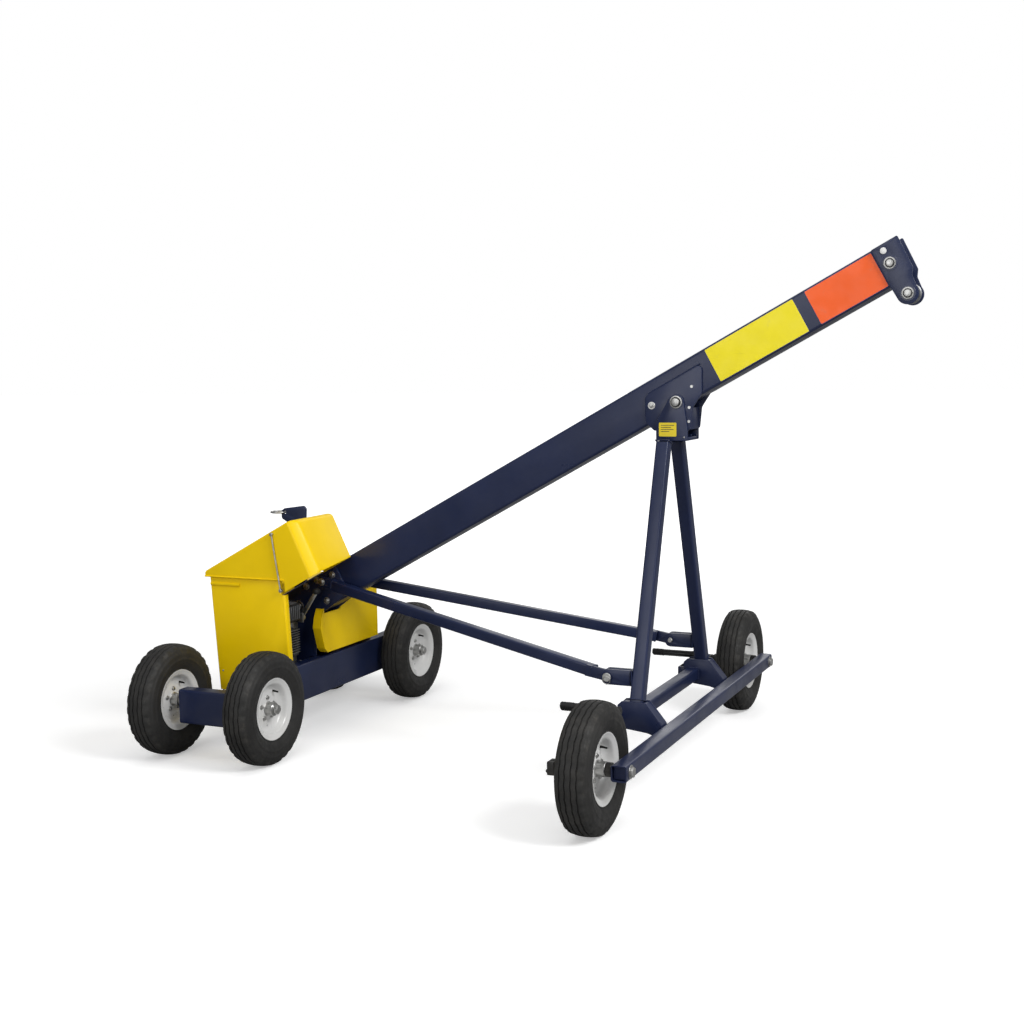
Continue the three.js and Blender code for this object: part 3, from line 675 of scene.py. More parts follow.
MIRY = Matrix.Scale(-1, 4, (0, 1, 0))
SIDES = (("near", W, BOOM), ("far", W @ MIRY, BOOM @ MIRY))

# ------------------------------------------------------------------------------------------ wheels
WHEEL_Z = 203.0
WHEELS = {"front_near": (0, -830), "front_far": (0, 830), "mid_near": (-1354, -554), "mid_far": (-1354, 554),
          "rear_near": (-1764, -554), "rear_far": (-1764, 554)}
TN, TP = 180, 6


def crown(h):
    return 203.0 - 5.6 * (abs(h) / 40.2) ** 2.2


side_l = [(101.6, -35.5), (103.6, -39.4), (108.6, -41.2), (111.5, -43.3), (114.0, -44.0), (115.6, -43.3), (118.0, -44.6), (127.0, -49.3),
          (138.0, -52.7), (145.8, -53.8), (147.0, -54.4), (150.6, -54.4), (151.8, -53.8), (160.0, -54.0), (168.0, -53.4), (173.6, -52.3),
          (174.6, -51.3), (181.0, -49.7), (186.5, -47.1), (190.6, -44.3), (194.2, -42.0), (197.0, -40.2)]
TYRE, KIND = [], []
for p in side_l:
    TYRE.append(p)
    KIND.append("shoulder" if p[0] > 189 else "side")
cr = [(-36.6, 0, "shoulder"), (-31.9, 0, "rib")]
for g in (-27.0, -9.6, 9.6, 27.0):
    cr += [(g - 2.7, 0, "zig"), (g - 1.5, -4.6, "zig"), (g + 1.5, -4.6, "zig"), (g + 2.7, 0, "zig")]
    if g < 20:
        mid = {-27.0: -18.3, -9.6: 0.0, 9.6: 18.3}[g]
        cr += [(mid - 2.5, 0, "rib"), (mid + 2.5, 0, "rib")]
cr += [(31.9, 0, "rib"), (36.6, 0, "shoulder")]
for h, d, k in cr:
    TYRE.append((crown(h) + d, h))
    KIND.append(k)
for p in reversed(side_l):
    TYRE.append((p[0], -p[1]))
    KIND.append("shoulder" if p[0] > 189 else "side")


def tread(j, k):
    kind = KIND[j]
    ph = k % TP
    if kind == "zig":
        return 0.0, (abs(ph - TP / 2) - TP / 4) * 0.75
    if kind == "shoulder" and ph in (0, 1):
        return -2.6, (0.8 if TYRE[j][1] < 0 else -0.8)
    return 0.0, 0.0


def tread_tag(r, h):
    if r < 150:
        return 0.15
    if r < 186:
        return 0.28
    return 1.0 if r < crown(h) - 3 else 0.55


RIM = [(24.6, 15.6), (29.0, 13.4), (45.0, 12.6), (51.0, 10.8), (60.0, 8.4), (70.0, 9.8), (78.5, 14.2), (84.2, 20.6), (87.4, 29.0), (90.3, 35.0),
       (95.2, 38.0), (102.0, 39.4), (105.6, 41.8), (108.0, 43.3), (110.3, 43.2), (111.0, 41.9), (109.6, 41.3), (106.0, 40.0), (102.6, 38.4), (101.4, 36.4)]
RIM = RIM + [(r, -h) for r, h in reversed(RIM)]
for key, (wx, wy) in WHEELS.items():
    body = "wheel_" + key
    t = Piece("rubber_" + key, RUBBER, body, ["tyre_" + key], smooth=38)
    t.add(b_lathe(TYRE, (wx, wy, WHEEL_Z), "x", TN, tread, tread_tag))
    t.done()
    r = Piece("wheel_disc_" + key, WHITE, body, ["rim_" + key], smooth=40)
    r.add(b_lathe(RIM, (wx, wy, WHEEL_Z), "x", 96))
    hub = [(13.2, -45), (21.8, -45), (23.6, -43.4), (23.6, -17), (26.5, -15), (26.5, 15), (23.6, 17), (23.6, 43.4), (21.8, 45), (13.2, 45)]
    r.add(b_lathe(hub, (wx, wy, WHEEL_Z), "x", 40), mat=ZINC)
    for sx in (1, -1):
        r.add(b_lathe([(13.3, 0), (19.0, 0), (19.0, 0.4), (17.5, 0.45), (13.3, 0.45)], (wx + sx * 45, wy, WHEEL_Z), (sx, 0, 0), 32), mat=PLASTIC)
        for i in range(5):
            bolt(r, (wx + sx * 12.2, wy + 39 * math.cos(math.radians(72 * i + 18)), WHEEL_Z + 39 * math.sin(math.radians(72 * i + 18))),
                 (sx, 0, 0), 6.2, 5.0, True, turn=i * 0.3, stud=(3.0 if sx < 0 else 0.0))
    va = math.radians(54)
    vp = Vector((wx + 9.6, wy + 69 * math.cos(va), WHEEL_Z + 69 * math.sin(va)))
    r.add(b_cyl(vp, (1, -0.12 * math.cos(va), -0.12 * math.sin(va)), 4.2, 15, 14, 3.0), mat=PLASTIC)
    r.add(b_cyl(vp + Vector((14.5, -1.8 * math.cos(va), -1.8 * math.sin(va))), (1, -0.12 * math.cos(va), -0.12 * math.sin(va)), 3.3, 9, 12), 0.8, 2, mat=PLASTIC)
    # a row of small vent dimples where the two pressings meet
    for i in range(5):
        a = math.radians(72 * i + 54)
        if i != 0:
            r.add(b_cyl((wx + 7.9, wy + 62 * math.cos(a), WHEEL_Z + 62 * math.sin(a)), (1, 0, 0), 3.4, 1.6, 16), 0.5, 1, mat=ZINC)
    r.done()

# ------------------------------------------------------------------------------------------ boom
boom = Piece("boom", NAVY, "frame", ["boom_tube"], frame=BOOM)
boom.add(b_cut(b_tube((-1790, 0, 0), (842, 0, 0), 100, 134, 10, 5, seg=5), b_cyl((824, -80, 45), "y", 9, 160, 28)), 0.5, 1)
# seam of the tube's long weld, ground flush, and the stops of the boom's tail
boom.add(b_tube((-1780, -12, -66.9), (835, -12, -66.9), 6, 1.2, 0.5, 0, cap=True))
boom.add(b_box(-1786, -1778, -44.5, 44.5, -61.5, 61.5), 1.0, 1)
for side, F, B in SIDES:
    # a bead where the side plates of the head lie on the tube
    weld(boom, [(789.5, -50.6, t) for t in (-57, 61)], 2.6, frame=B)
boom.done()

for side, F, B in SIDES:
    for name, mat, s0, s1 in (("yellow", DEC_Y, 163, 500), ("orange", DEC_O, 545, 786)):
        back = Piece("decal_edge_%s_%s" % (name, side), DEC_B, "frame", frame=B)
        back.add(b_poly(fillet([(s0 - 1, -61), (s1 + 1, -61), (s1 + 1, 61), (s0 - 1, 61)], 4), -50.35, -50.02), 0.05, 1)
        back.done()
        d = Piece("decal_%s_%s" % (name, side), mat, "frame", frame=B)
        d.add(b_poly(fillet([(s0, -59.6), (s1, -59.6), (s1, 59.6), (s0, 59.6)], 4), -50.75, -50.20), 0.12, 1)
        d.done()
    # head plate
    lobe = [(827 + 35 * math.cos(a), -110.6 + 35 * math.sin(a)) for a in [math.pi * (1.03 + 1.03 * i / 24) for i in range(25)]]
    outline = [(790, 66), (790, -60)] + lobe + [(865, -68), (879, -46), (883, 66)]
    out = fillet(outline, [5, 6] + [0] * 25 + [8, 10, 4])
    hp = Piece("head_cheek_" + side, NAVY, "frame", ["head_plate_" + side], frame=B)
    hp.add(b_poly(out, -58.3, -50.3, [circle(824, 45, 9, 28)]), 1.2, 2)
    hp.add(b_poly(circle(824, 1, 25, 40), -59.4, -58.2), 0.5, 1)
    hp.add(b_poly(circle(828, -110.6, 25, 40), -59.4, -58.2), 0.5, 1)
    hp.add(b_cyl((824, -57.9, 45), (0, -1, 0), 10.5, 2.4, 36), 1.0, 2, mat=WHITE, frame=B)
    hp.done()
for name, S0, T0, R0 in (("upper", 824, 1, 40), ("lower", 828, -110.6, 33)):
    hp = Piece("sheave_pin_" + name, ZINC, "frame", ["head_pin_" + name], frame=BOOM)
    hp.add(b_cyl((S0, -58, T0), "y", 12, 116, 32))
    for sg in (-1, 1):
        hp.add(b_cyl((S0, sg * 15.6, T0), (0, sg, 0), 17.5, 34.0, 32), 0.8, 1)
        pin_head(hp, (S0, sg * 58.7, T0), (0, sg, 0), 11.6, 19.5, 8.0)
    hp.done()
    sh = Piece("sheave_wheel_" + name, ALLOY, "sheave_%s_body" % name, ["sheave_" + name], frame=BOOM, smooth=30)
    m0 = 20.5 if R0 > 35 else 16.0
    prof = [(12.9, -15), (m0, -15), (m0 + 1.2, -13.5), (m0 + 2, -11.5), (R0 - 10, -11.5), (R0 - 9, -13.5), (R0 - 8.2, -15), (R0 - 1.2, -15), (R0, -13.8), (R0, -11.8), (R0 - 8.6, -4.6), (R0 - 10.6, 0),
            (R0 - 8.6, 4.6), (R0, 11.8), (R0, 13.8), (R0 - 1.2, 15), (R0 - 8.2, 15), (R0 - 9, 13.5), (R0 - 10, 11.5), (m0 + 2, 11.5), (m0 + 1.2, 13.5), (m0, 15), (12.9, 15)]
    sh.add(b_lathe(prof, (S0, 0, T0), "y", 64))
    for i in range(6):
        a = i * math.pi / 3
        if R0 > 35:
            sh.add(b_cyl((S0 + 26 * math.cos(a), -12.5, T0 + 26 * math.sin(a)), "y", 2.2, 25, 10))
    sh.done()

# ------------------------------------------------------------------------------------------ saddle and A-frame
top = lambda x: MIDZ + x * S / C + 30
cheek = fillet([(-92, 1200), (-62, 1172), (60, 1172), (68, 1182), (75, 1250), (108, 1300), (108, top(108)), (-92, top(-92))], [10, 10, 6, 6, 24, 24, 14, 14])
sad = Piece("saddle", NAVY, "frame", ["boom_saddle"])
for side, F, B in SIDES:
    sad.add(b_poly(cheek, -58.3, -50.3), 1.2, 2, frame=F)
    zt = lambda x: top(x) + 1.5
    weld(sad, [(-84, -52.2, zt(-84)), (100, -52.2, zt(100))], 2.8, frame=F)
    weld(sad, [(-93, -52, 1215), (-93, -52, top(-92) - 8)], 2.8, frame=F)
    for xd, zd in ((72, 1322), (63, 1251), (62, 1204)):
        sad.add(b_cyl((xd, -58.0, zd), (0, -1, 0), 5.0, 0.65, 20), 0.2, 1, mat=ZINC, frame=F)
    bolt(sad, (-70, -58.3, 1258), (0, -1, 0), 9.5, 3.5, frame=F, turn=0.1)
    sad.add(b_cyl((-70, -62, 1258), (0, -1, 0), 6.0, 7.5, 24), 1.2, 2, mat=ZINC, frame=F)
sad.add(b_box(-58, -20, -58, 58, 1172, 1182), 1.2, 2)
sad.add(b_box(60, 66, -50.4, 50.4, 1176, 1250), 1.2, 2)
for yy in (-48.5, 48.5):
    weld(sad, [(-57, yy, 1183.5), (-21, yy, 1183.5)], 2.6)
sad.done()
pv = Piece("pivot_pin", ZINC, "frame", ["aframe_pivot_pin"])
pv.add(b_cyl((20, -70, 1270), "y", 14, 140, 36))
for sg in (-1, 1):
    pin_head(pv, (20, sg * 67.4, 1270), (0, sg, 0), 13.6, 21.5, 12.0)
pv.done()

CHK = fillet([(-52, 1138), (60, 1138), (60, 1180), (44, 1286), (20, 1300), (-4, 1286), (-52, 1200)], [4, 4, 10, 16, 22, 16, 14], 5)
ah = Piece("aframe_cheeks", NAVY, "aframe", ["aframe_head"])
for side, F, B in SIDES:
    ah.add(b_poly(CHK, -67, -59), 1.3, 2, frame=F)
    ah.add(b_poly(circle(20, 1270, 25, 36), -67.35, -66.9), 0.1, 1, frame=F)
    weld(ah, [(-49, -57.0, 1151.4), (57, -57.0, 1151.4)], 2.8, frame=F)
    rivet(ah, (48, -67, 1150), (0, -1, 0), 3.2, frame=F)
ah.add(b_box(-50, 58, -60, 60, 1138, 1150), 1.3, 2)
ah.add(b_poly([(-46, 1150), (54, 1150), (54, 1158), (-46, 1158)], -3, 3), 1.0, 1)
ah.done()
lb = Piece("label", LABEL, "aframe")
lb.add(b_poly(fillet([(-41, 1153), (21, 1153), (21, 1200), (-41, 1200)], 3), -67.75, -67.02), 0.12, 1)
for z0, x1 in ((1190, 13), (1183, 2), (1176, 11), (1169, -4)):
    lb.add(b_box(-34, x1, -67.85, -67.6, z0, z0 + 2.2), mat=LABEL_K)
lb.done()

legY = lambda z: 66 + (1165 - z) * 0.341
CY = -legY(370)
GY0 = -legY(300) - 26
GY1 = GY0 + 52
for side, F, B in SIDES:
    lg = Piece("leg_tube_" + side, NAVY, "aframe", ["leg_" + side], frame=F)
    p, q = (-20, -legY(300.3), 300.3), (-20, -legY(1137.5), 1137.5)
    lg.add(b_tube(p, q, 45, 45, 7, 4, (1, 0, 0), ((p, (0, 0, 1)), (q, (0, 0, 1))), seg=5), 0.4, 1)
    # clevis for the tie
    ear = fillet([(-42, 345), (-150, 345), (-150, 396), (-42, 396)], [0, 22, 22, 0], 7)
    for y0 in (CY - 20, CY + 8):
        lg.add(b_poly(ear, y0, y0 + 12, [circle(-128, 370, 9.4, 28)]), 1.3, 2)
    lg.add(b_box(-50.5, -42, CY - 20, CY + 20, 345, 396), 1.2, 2)
    weld(lg, [(-43.5, CY - 21, 347), (-43.5, CY - 21, 394)], 2.6)
    weld(lg, [(-43.5, CY + 21, 347), (-43.5, CY + 21, 394)], 2.6)
    ring_weld(lg, (-20, -legY(303), 302.5), (-20, -legY(400), 400), 47, 47, (1, 0, 0), 2.8)
    ring_weld(lg, (-20, -legY(1134), 1135.0), (-20, -legY(1000), 1000), 47, 47, (1, 0, 0), 2.6)
    lg.done()

    gs = Piece("foot_gusset_" + side, NAVY, "aframe", ["base_gusset_" + side], frame=F)
    go = [(-83, 212), (-83, 286), (-68, 300), (14, 300), (70.7, 230), (70.7, 184), (20, 200)]
    gf = fillet(go, [8, 8, 6, 8, 3, 3, 16], 5)
    gs.add(b_poly(gf, GY0, GY0 + 7), 1.3, 2)
    gs.add(b_poly(gf, GY1 - 7, GY1), 1.3, 2)
    cx, cz = -5, 245
    core = [(cx + (x - cx) * (1 - 4.0 / abs(Vector((x - cx, z - cz)).length)), cz + (z - cz) * (1 - 4.0 / abs(Vector((x - cx, z - cz)).length))) for x, z in gf]
    core = [(min(x, 70.7) if x < 66 else 70.7, z) for x, z in core]
    gs.add(b_poly(core, GY0 + 4, GY1 - 4), 0.8, 1)
    for yy in (GY0 + 8, GY1 - 8):
        weld(gs, [(-64, yy, 298), (10, yy, 298), (66, yy, 230)], 2.4)
    gs.add(b_cut(b_box(-112, -86, -604, GY0 + 20, 228, 262), b_cyl((-120, -585, 245), "x", 8.4, 60, 24)), 2.2, 2)
    gs.add(b_box(-112, -75, GY0 - 30, GY0 + 30, 228, 262), 2.2, 2)
    weld(gs, [(-84.6, GY0 + 1, 226), (-84.6, GY0 + 1, 264)], 2.6)
    gs.done()

    fa = Piece("stub_axle_" + side, BLACK, "aframe", ["front_axle_" + side], frame=F)
    fa.add(b_cyl((-135, -830, WHEEL_Z), "x", 12.5, 264, 32), 1.5, 2)
    fa.add(b_lathe([(0, 0), (20.5, 0), (22, 1.5), (22, 17), (19, 20), (19, 24.5), (0, 24.5)], (45.7, -830, WHEEL_Z), "x", 40))
    fa.add(b_lathe([(0, 0), (16.5, 0), (18, 1.5), (18, 40), (16, 42), (16, 57), (17.5, 58.5), (17.5, 59.4), (0, 59.4)], (-45.7, -830, WHEEL_Z), (-1, 0, 0), 40))
    fa.add(b_box(-140, -116, -852, -808, 171, 213), 3.0, 3)
    for y0 in (-843, -817):
        bolt(fa, (-140, y0, 182), (-1, 0, 0), 5.0, 3.6, True, mat=BLACK)
    bolt(fa, (121.3, -830, WHEEL_Z), (1, 0, 0), 16.0, 9.2, True, mat=ZINC)
    fa.done()

    tp = Piece("tie_lockpin_" + side, ZINC, "tie_pin_%s_body" % side, ["tie_pin_" + side], frame=F)
    tp.add(b_cyl((-128, CY - 27, 370), "y", 9, 49, 28), 0.8, 2)
    tp.add(b_cyl((-128, CY + 21, 370), "y", 7.8, 5, 28), 0.3, 1)
    tp.add(b_lathe([(0, 0), (13, 0), (15, 1.6), (15, 6.6), (13.4, 8.4), (0, 8.4)], (-128, CY - 29, 370), "y", 36))
    tp.add(b_rod([(-128 + 13 * math.cos(a), CY - 29.6, 370 + 13 * math.sin(a) - 9) for a in [2 * math.pi * i / 28 for i in range(28)]], 1.5, 8, closed=True))
    tp.add(b_lathe([(0, 0), (8.8, 0), (8.8, 0.9), (7.2, 2.4), (0, 2.4)], (-128, CY + 25.4, 370), "y", 28))
    tp.done()

    A, Bp = Vector((-1400, -73, 585)), Vector((-128, CY, 370))
    u = (Bp - A).normalized()
    th = math.atan2(Bp.z - A.z, Bp.x - A.x)
    ti = Piece("tie_bar_" + side, NAVY, "tie_%s_body" % side, ["tie_" + side], frame=F)
    ti.add(b_tube(A + u * 60, Bp - u * 58, 38, 38, 5.5, 0, cap=True, seg=5), 1.0, 2, 50)
    for P0, sgn, y0 in ((A, 1, -77), (Bp, -1, CY - 6)):
        arc = [(19 * math.cos(a), 19 * math.sin(a)) for a in [math.pi / 2 + math.pi * i / 16 for i in range(17)]]
        pts = [(sgn * x, z) for x, z in arc + [(84, -19), (84, 19)]]
        pts = [(P0.x + x * math.cos(th) - z * math.sin(th), P0.z + x * math.sin(th) + z * math.cos(th)) for x, z in pts]
        ti.add(b_poly(pts, y0, y0 + 12, [circle(P0.x, P0.z, 9.4, 28)]), 1.2, 2)
        e = P0 + u * (sgn * 61.5)
        ring_weld(ti, e, e + u * sgn * 30, 36, 36, (0, 0, 1), 2.4)
    ti.done()

rc = Piece("rear_tie_bar", NAVY, "aframe", ["rear_crossbar"])
rc.add(b_tube((-47.5, -GY1 - 0.3, 244.5), (-47.5, GY1 + 0.3, 244.5), 45, 45, 7, 4, seg=5), 0.4, 1)
for sg in (-1, 1):
    ring_weld(rc, (-47.5, sg * (-GY1 - 2.6), 244.5), (-47.5, sg * 200, 244.5), 47, 47, (0, 0, 1), 2.8)
rc.done()
fc = Piece("front_tie_bar", NAVY, "aframe", ["front_crossbar"])
fc.add(b_tube((96, -867, 203), (96, 867, 203), 50, 50, 7.5, 4, seg=5), 0.5, 1)
for sg in (-1, 1):
    for yy in (GY0, GY1):
        weld(fc, [(69.6, sg * yy, 186), (69.6, sg * yy, 226)], 2.8)
    fc.add(b_box(76.5, 115.5, sg * 852 - 2, sg * 852 + 2, 183.5, 222.5), 0.8, 1)
fc.done()


def brake(name, node, body, tilt, py, by, bz, x0, x1):
    p = Piece(name, BLACK, body, [node])
    p.add(b_tube((-72, py, 245), (-72, by, bz), 12, 26, 2.5, 0, (1, 0, 0), cap=True), 0.8, 1)
    p.add(b_cyl((-119, py, 245), "x", 8, 57, 24), 1.2, 2)
    p.add(b_cyl((-83, py, 245), "x", 17, 23, 32), 1.5, 2)
    upv = (0, math.sin(tilt), math.cos(tilt))
    p.add(b_tube((x0, by, bz), (x1, by, bz), 26, 20, 7.0, 0, upv, cap=True, seg=5), 1.5, 2, 50)
    u2 = Vector(upv)
    sd = Vector((0, math.cos(tilt), -math.sin(tilt)))
    o = Vector((x1 - 4, by, bz))
    p.add(b_tube(o - u2 * 8, o + u2 * 10, 7, 24, 2.0, 0, sd, cap=True), 0.8, 1)
    weld(p, [(-84, py + (by - py) * 0.93, 245 + (bz - 245) * 0.93 + 8), (-60, py + (by - py) * 0.93, 245 + (bz - 245) * 0.93 + 8)], 2.2)
    # rubber sleeve on the toe end
    L = min(44, -x0 - 62)
    if L > 10:
        for i in range(int(L / 6)):
            p.add(b_tube((x0 + 3 + i * 6, by, bz), (x0 + 7 + i * 6, by, bz), 28, 22, 7.5, 0, upv, cap=True), 0.6, 1, mat=PLASTIC)
    bolt(p, (-119, py, 245), (-1, 0, 0), 9, 3.5, True, mat=ZINC)
    p.done()


brake("brake_bar_near", "brake_lever_near", "brake_lever_near_body", 0.908, -585, -659.5, 338.2, -170, 30)
brake("brake_bar_far", "brake_lever_far", "brake_lever_far_body", 0.581, 585, 403, 303, -225, -60)

# ------------------------------------------------------------------------------------------ carriage
bm_ = Piece("front_beam", NAVY, "frame", ["carriage_front_beam"])
bm_.add(b_tube((-1445, -529.7, 213.5), (-1445, 529.7, 213.5), 50, 143, 8, 5, seg=5), 0.4, 1)
for sg in (-1, 1):
    ring_weld(bm_, (-1445, sg * 526.6, 213.5), (-1445, sg * 400, 213.5), 52, 145, (0, 0, 1), 2.8)
    for yy in (50.3, 58.3):
        weld(bm_, [(-1471, sg * yy, 286.2), (-1449, sg * yy, 286.2)], 2.0)
bm_.done()
rb = Piece("rear_beam", NAVY, "frame", ["carriage_rear_beam"])
rb.add(b_tube((-1675, -529.7, 166), (-1675, 529.7, 166), 50, 48, 7, 5, seg=5), 0.4, 1)
for sg in (-1, 1):
    ring_weld(rb, (-1675, sg * 526.6, 166), (-1675, sg * 400, 166), 51, 49, (0, 0, 1), 2.8)
rb.done()
dk = Piece("deck", NAVY, "frame", ["deck_plate"])
dk.add(b_sheet(fillet_open([(-1700, 190.4), (-1700, 256.3), (-1470.3, 256.3)], [8], 5), -6, -324, 345, "xz"), 1.0, 2)
for xx in (-1686, -1664):
    for yy in (-312, -110, 72, 334):
        if xx == -1686 and yy != 72:
            bolt(dk, (xx, yy, 256.3), (0, 0, 1), 7.5, 5.0)
dk.done()
for side, F, B in SIDES:
    eb = Piece("end_tube_" + side, NAVY, "frame", ["carriage_end_box_" + side], frame=F)
    eb.add(b_tube((-1700, -560, 187.5), (-1420, -560, 187.5), 60, 125, 8, 6, seg=5), 0.5, 1)
    for x0, sx in ((-1697, -1), (-1423, 1)):
        eb.add(b_cut(b_box(min(x0, x0 - sx * 6), max(x0, x0 - sx * 6), -584.5, -535.5, 130.5, 244.5), b_cyl((x0 - 30, -554, WHEEL_Z), "x", 13.6, 60, 28)), 0.5, 1)
    eb.done()
    ax = Piece("through_axle_" + side, ZINC, "frame", ["carriage_axle_" + side], frame=F)
    ax.add(b_cyl((-1825, -554, WHEEL_Z), "x", 12.4, 532, 32), 1.5, 2)
    for x0, sx in ((-1809.5, -1), (-1308.5, 1)):
        ax.add(b_cyl((x0, -554, WHEEL_Z), (sx, 0, 0), 20.5, 2.4, 36), 0.6, 1)
        ax.add(b_cyl((x0 + sx * 2.4, -554, WHEEL_Z), (sx, 0, 0), 18.6, 9.6, 6), 1.0, 2)
        ax.add(b_rod([(x0 + sx * 13.4, -554 - 14.5, WHEEL_Z), (x0 + sx * 13.4, -554 + 15, WHEEL_Z)], 1.5, 8))
    for x0, x1 in ((-1764 + 45.5, -1700.6), (-1419.4, -1354 - 45.5)):
        ax.add(b_cyl((x0, -554, WHEEL_Z), "x", 19.5, x1 - x0, 36), 1.0, 2)
    ax.done()

    sp = Piece("side_plate_" + side, NAVY, "frame", ["support_plate_" + side], frame=F)
    q = on_boom
    outl = [(-1702, 256.6), (-1474, 256.6), (-1474, 285.3), (-1448, 285.3), (-1446, 436), q(-1512, -58), q(-1504, -50), q(-1504, 52), q(-1512, 60), q(-1790, 60), (-1702, 400)]
    sp.add(b_poly(fillet(outl, [4, 0, 0, 3, 20, 6, 6, 6, 6, 16, 30], 5), -58.3, -50.3), 1.3, 2)
    # turned-out feet
    sp.add(b_box(-1690, -1490, -84, -58.0, 256.7, 263.5), 1.5, 2)
    for xx in (-1668, -1512):
        bolt(sp, (xx, -73, 263.5), (0, 0, 1), 6.5, 5)
    weld(sp, [(-1686, -59.5, 265), (-1494, -59.5, 265)], 2.6)
    for s0, t0 in ((-1606, 46), (-1606, -42), (-1534, 34)):
        bolt(sp, (s0, -58.3, t0), (0, -1, 0), 10, 4.6, True, frame=B, turn=s0 * 0.01)
    bolt(sp, (-1662, -58.3, 46), (0, -1, 0), 10, 4.6, True, frame=B, turn=0.2)
    # bearing flange of the drum's shaft
    sp.add(b_lathe([(15.0, 0), (33, 0), (33, 4.5), (31.5, 6), (23, 6.5), (21.5, 10), (15.0, 10)], (-1622, -58.2, 345), (0, -1, 0), 40), mat=BLACK)
    for i in range(3):
        a = math.radians(90 + 120 * i)
        bolt(sp, (-1622 + 27.5 * math.cos(a), -64.0, 345 + 27.5 * math.sin(a)), (0, -1, 0), 3.6, 2.6, False)
    # pin and washer of the tie's rear end
    sp.add(b_cyl((-1400, -58.0, 585), (0, -1, 0), 9, 24, 28), mat=ZINC)
    sp.add(b_cyl((-1400, -58.0, 585), (0, -1, 0), 15, 6.2, 28), 1.0, 2)
    sp.add(b_cyl((-1400, -79, 585), (0, -1, 0), 15, 3, 30), 0.6, 1, mat=ZINC)
    sp.add(b_cyl((-1400, -82, 585), (0, -1, 0), 11.5, 6, 6), 0.8, 2, mat=ZINC)
    weld(sp, [(-1453, -57.6, 300), (-1451, -57.6, 430)], 1.6)
    sp.done()

fp = Piece("foot_pin", ZINC, "frame", ["boom_foot_pin"])
fp.add(b_cyl((-1520, -60, 480), "y", 15, 120, 32))
for sg in (-1, 1):
    pin_head(fp, (-1520, sg * 58.7, 480), (0, sg, 0), 14.6, 23.5, 9.0)
fp.done()

dr = Piece("rope_drum", ALLOY, "drum_body", ["winch_drum"], smooth=30)
dr.add(b_lathe([(0, -96), (12.6, -96), (13.8, -94.8), (13.8, -46), (66.5, -46), (68, -44.8), (68, -43.2), (66.5, -42), (44, -42), (44, 42), (66.5, 42), (68, 43.2), (68, 44.8), (66.5, 46),
                (13.8, 46), (13.8, 64.8), (12.6, 66), (0, 66)], (-1622, 0, 345), "y", 64))
turns = []
for i in range(9 * 40 + 1):
    a = 2 * math.pi * i / 40
    turns.append((-1622 + 48.2 * math.cos(a), -37.6 + 8.35 * i / 40, 345 + 48.2 * math.sin(a)))
dr.add(b_rod(turns, 4.0, 8))
turns = []
for i in range(5 * 40 + 1):
    a = -2 * math.pi * i / 40
    turns.append((-1622 + 55.4 * math.cos(a), 33.4 - 8.35 * i / 40, 345 + 55.4 * math.sin(a)))
dr.add(b_rod(turns, 4.0, 8))
dr.done()


def gear(x, y0, y1, z, r_root, r_tip, teeth, bore, phase=0.0):
    pts = []
    for i in range(teeth):
        for f, rr in ((0.0, r_root), (0.18, r_root), (0.32, r_tip), (0.62, r_tip), (0.78, r_root)):
            a = phase + 2 * math.pi * (i + f) / teeth
            pts.append((x + rr * math.cos(a), z + rr * math.sin(a)))
    return b_poly(pts, y0, y1, [circle(x, z, bore, 24)])


dg = Piece("spur_gear", ALLOY, "drum_body", ["drum_gear"], smooth=25)
dg.add(gear(-1622, -92, -76, 345, 56.5, 62, 31, 14.2), 0.4, 1)
dg.add(b_lathe([(14.2, -94), (24, -94), (25, -92.5), (25, -75), (14.2, -75)], (-1622, 0, 345), "y", 40))
for i in range(5):
    a = math.radians(72 * i)
    dg.add(b_cyl((-1622 + 41 * math.cos(a), -92.6, 345 + 41 * math.sin(a)), "y", 7.5, 17.2, 20), 0.5, 1, mat=BLACK)
dg.done()
dp = Piece("pinion", ZINC, "pinion_body", ["drive_pinion"], smooth=25)
dp.add(gear(-1544.5, -94, -74, 385, 18.6, 24, 12, 9.9, 0.35), 0.4, 1)
dp.add(b_cyl((-1544.5, -112, 385), "y", 10, 39, 24), 0.8, 1)
dp.done()

gb = Piece("reduction_box", ALLOY, "frame", ["gearbox"])
gb.add(b_cut(b_box(-1610, -1490, -150, -114, 300, 470), b_cyl((-1544.5, -118, 385), "y", 12, 20, 24)), 5.0, 3)
gb.add(b_box(-1600, -1500, -150, -114, 256.6, 304), 2.5, 2)
gb.add(b_poly(fillet([(-1603, 307), (-1497, 307), (-1497, 463), (-1603, 463)], 12), -114.2, -111.6, [circle(-1544.5, 385, 14, 28)]), 0.8, 1)
for x0, z0 in ((-1596, 314), (-1504, 314), (-1596, 456), (-1504, 456), (-1596, 385), (-1504, 385)):
    bolt(gb, (x0, -111.6, z0), (0, 1, 0), 4.6, 3.6, False)
for k in range(5):
    gb.add(b_box(-1612, -1609, -146, -118, 330 + k * 26, 334 + k * 26), 0.6, 1)
gb.add(b_box(-1495, -1446, -148, -139, 435, 472), 1.5, 2)
gb.add(b_lathe([(0, 0), (9, 0), (9, 3), (6, 6), (0, 7)], (-1580, -132, 469.5), "z", 6), mat=ZINC)
gb.done()

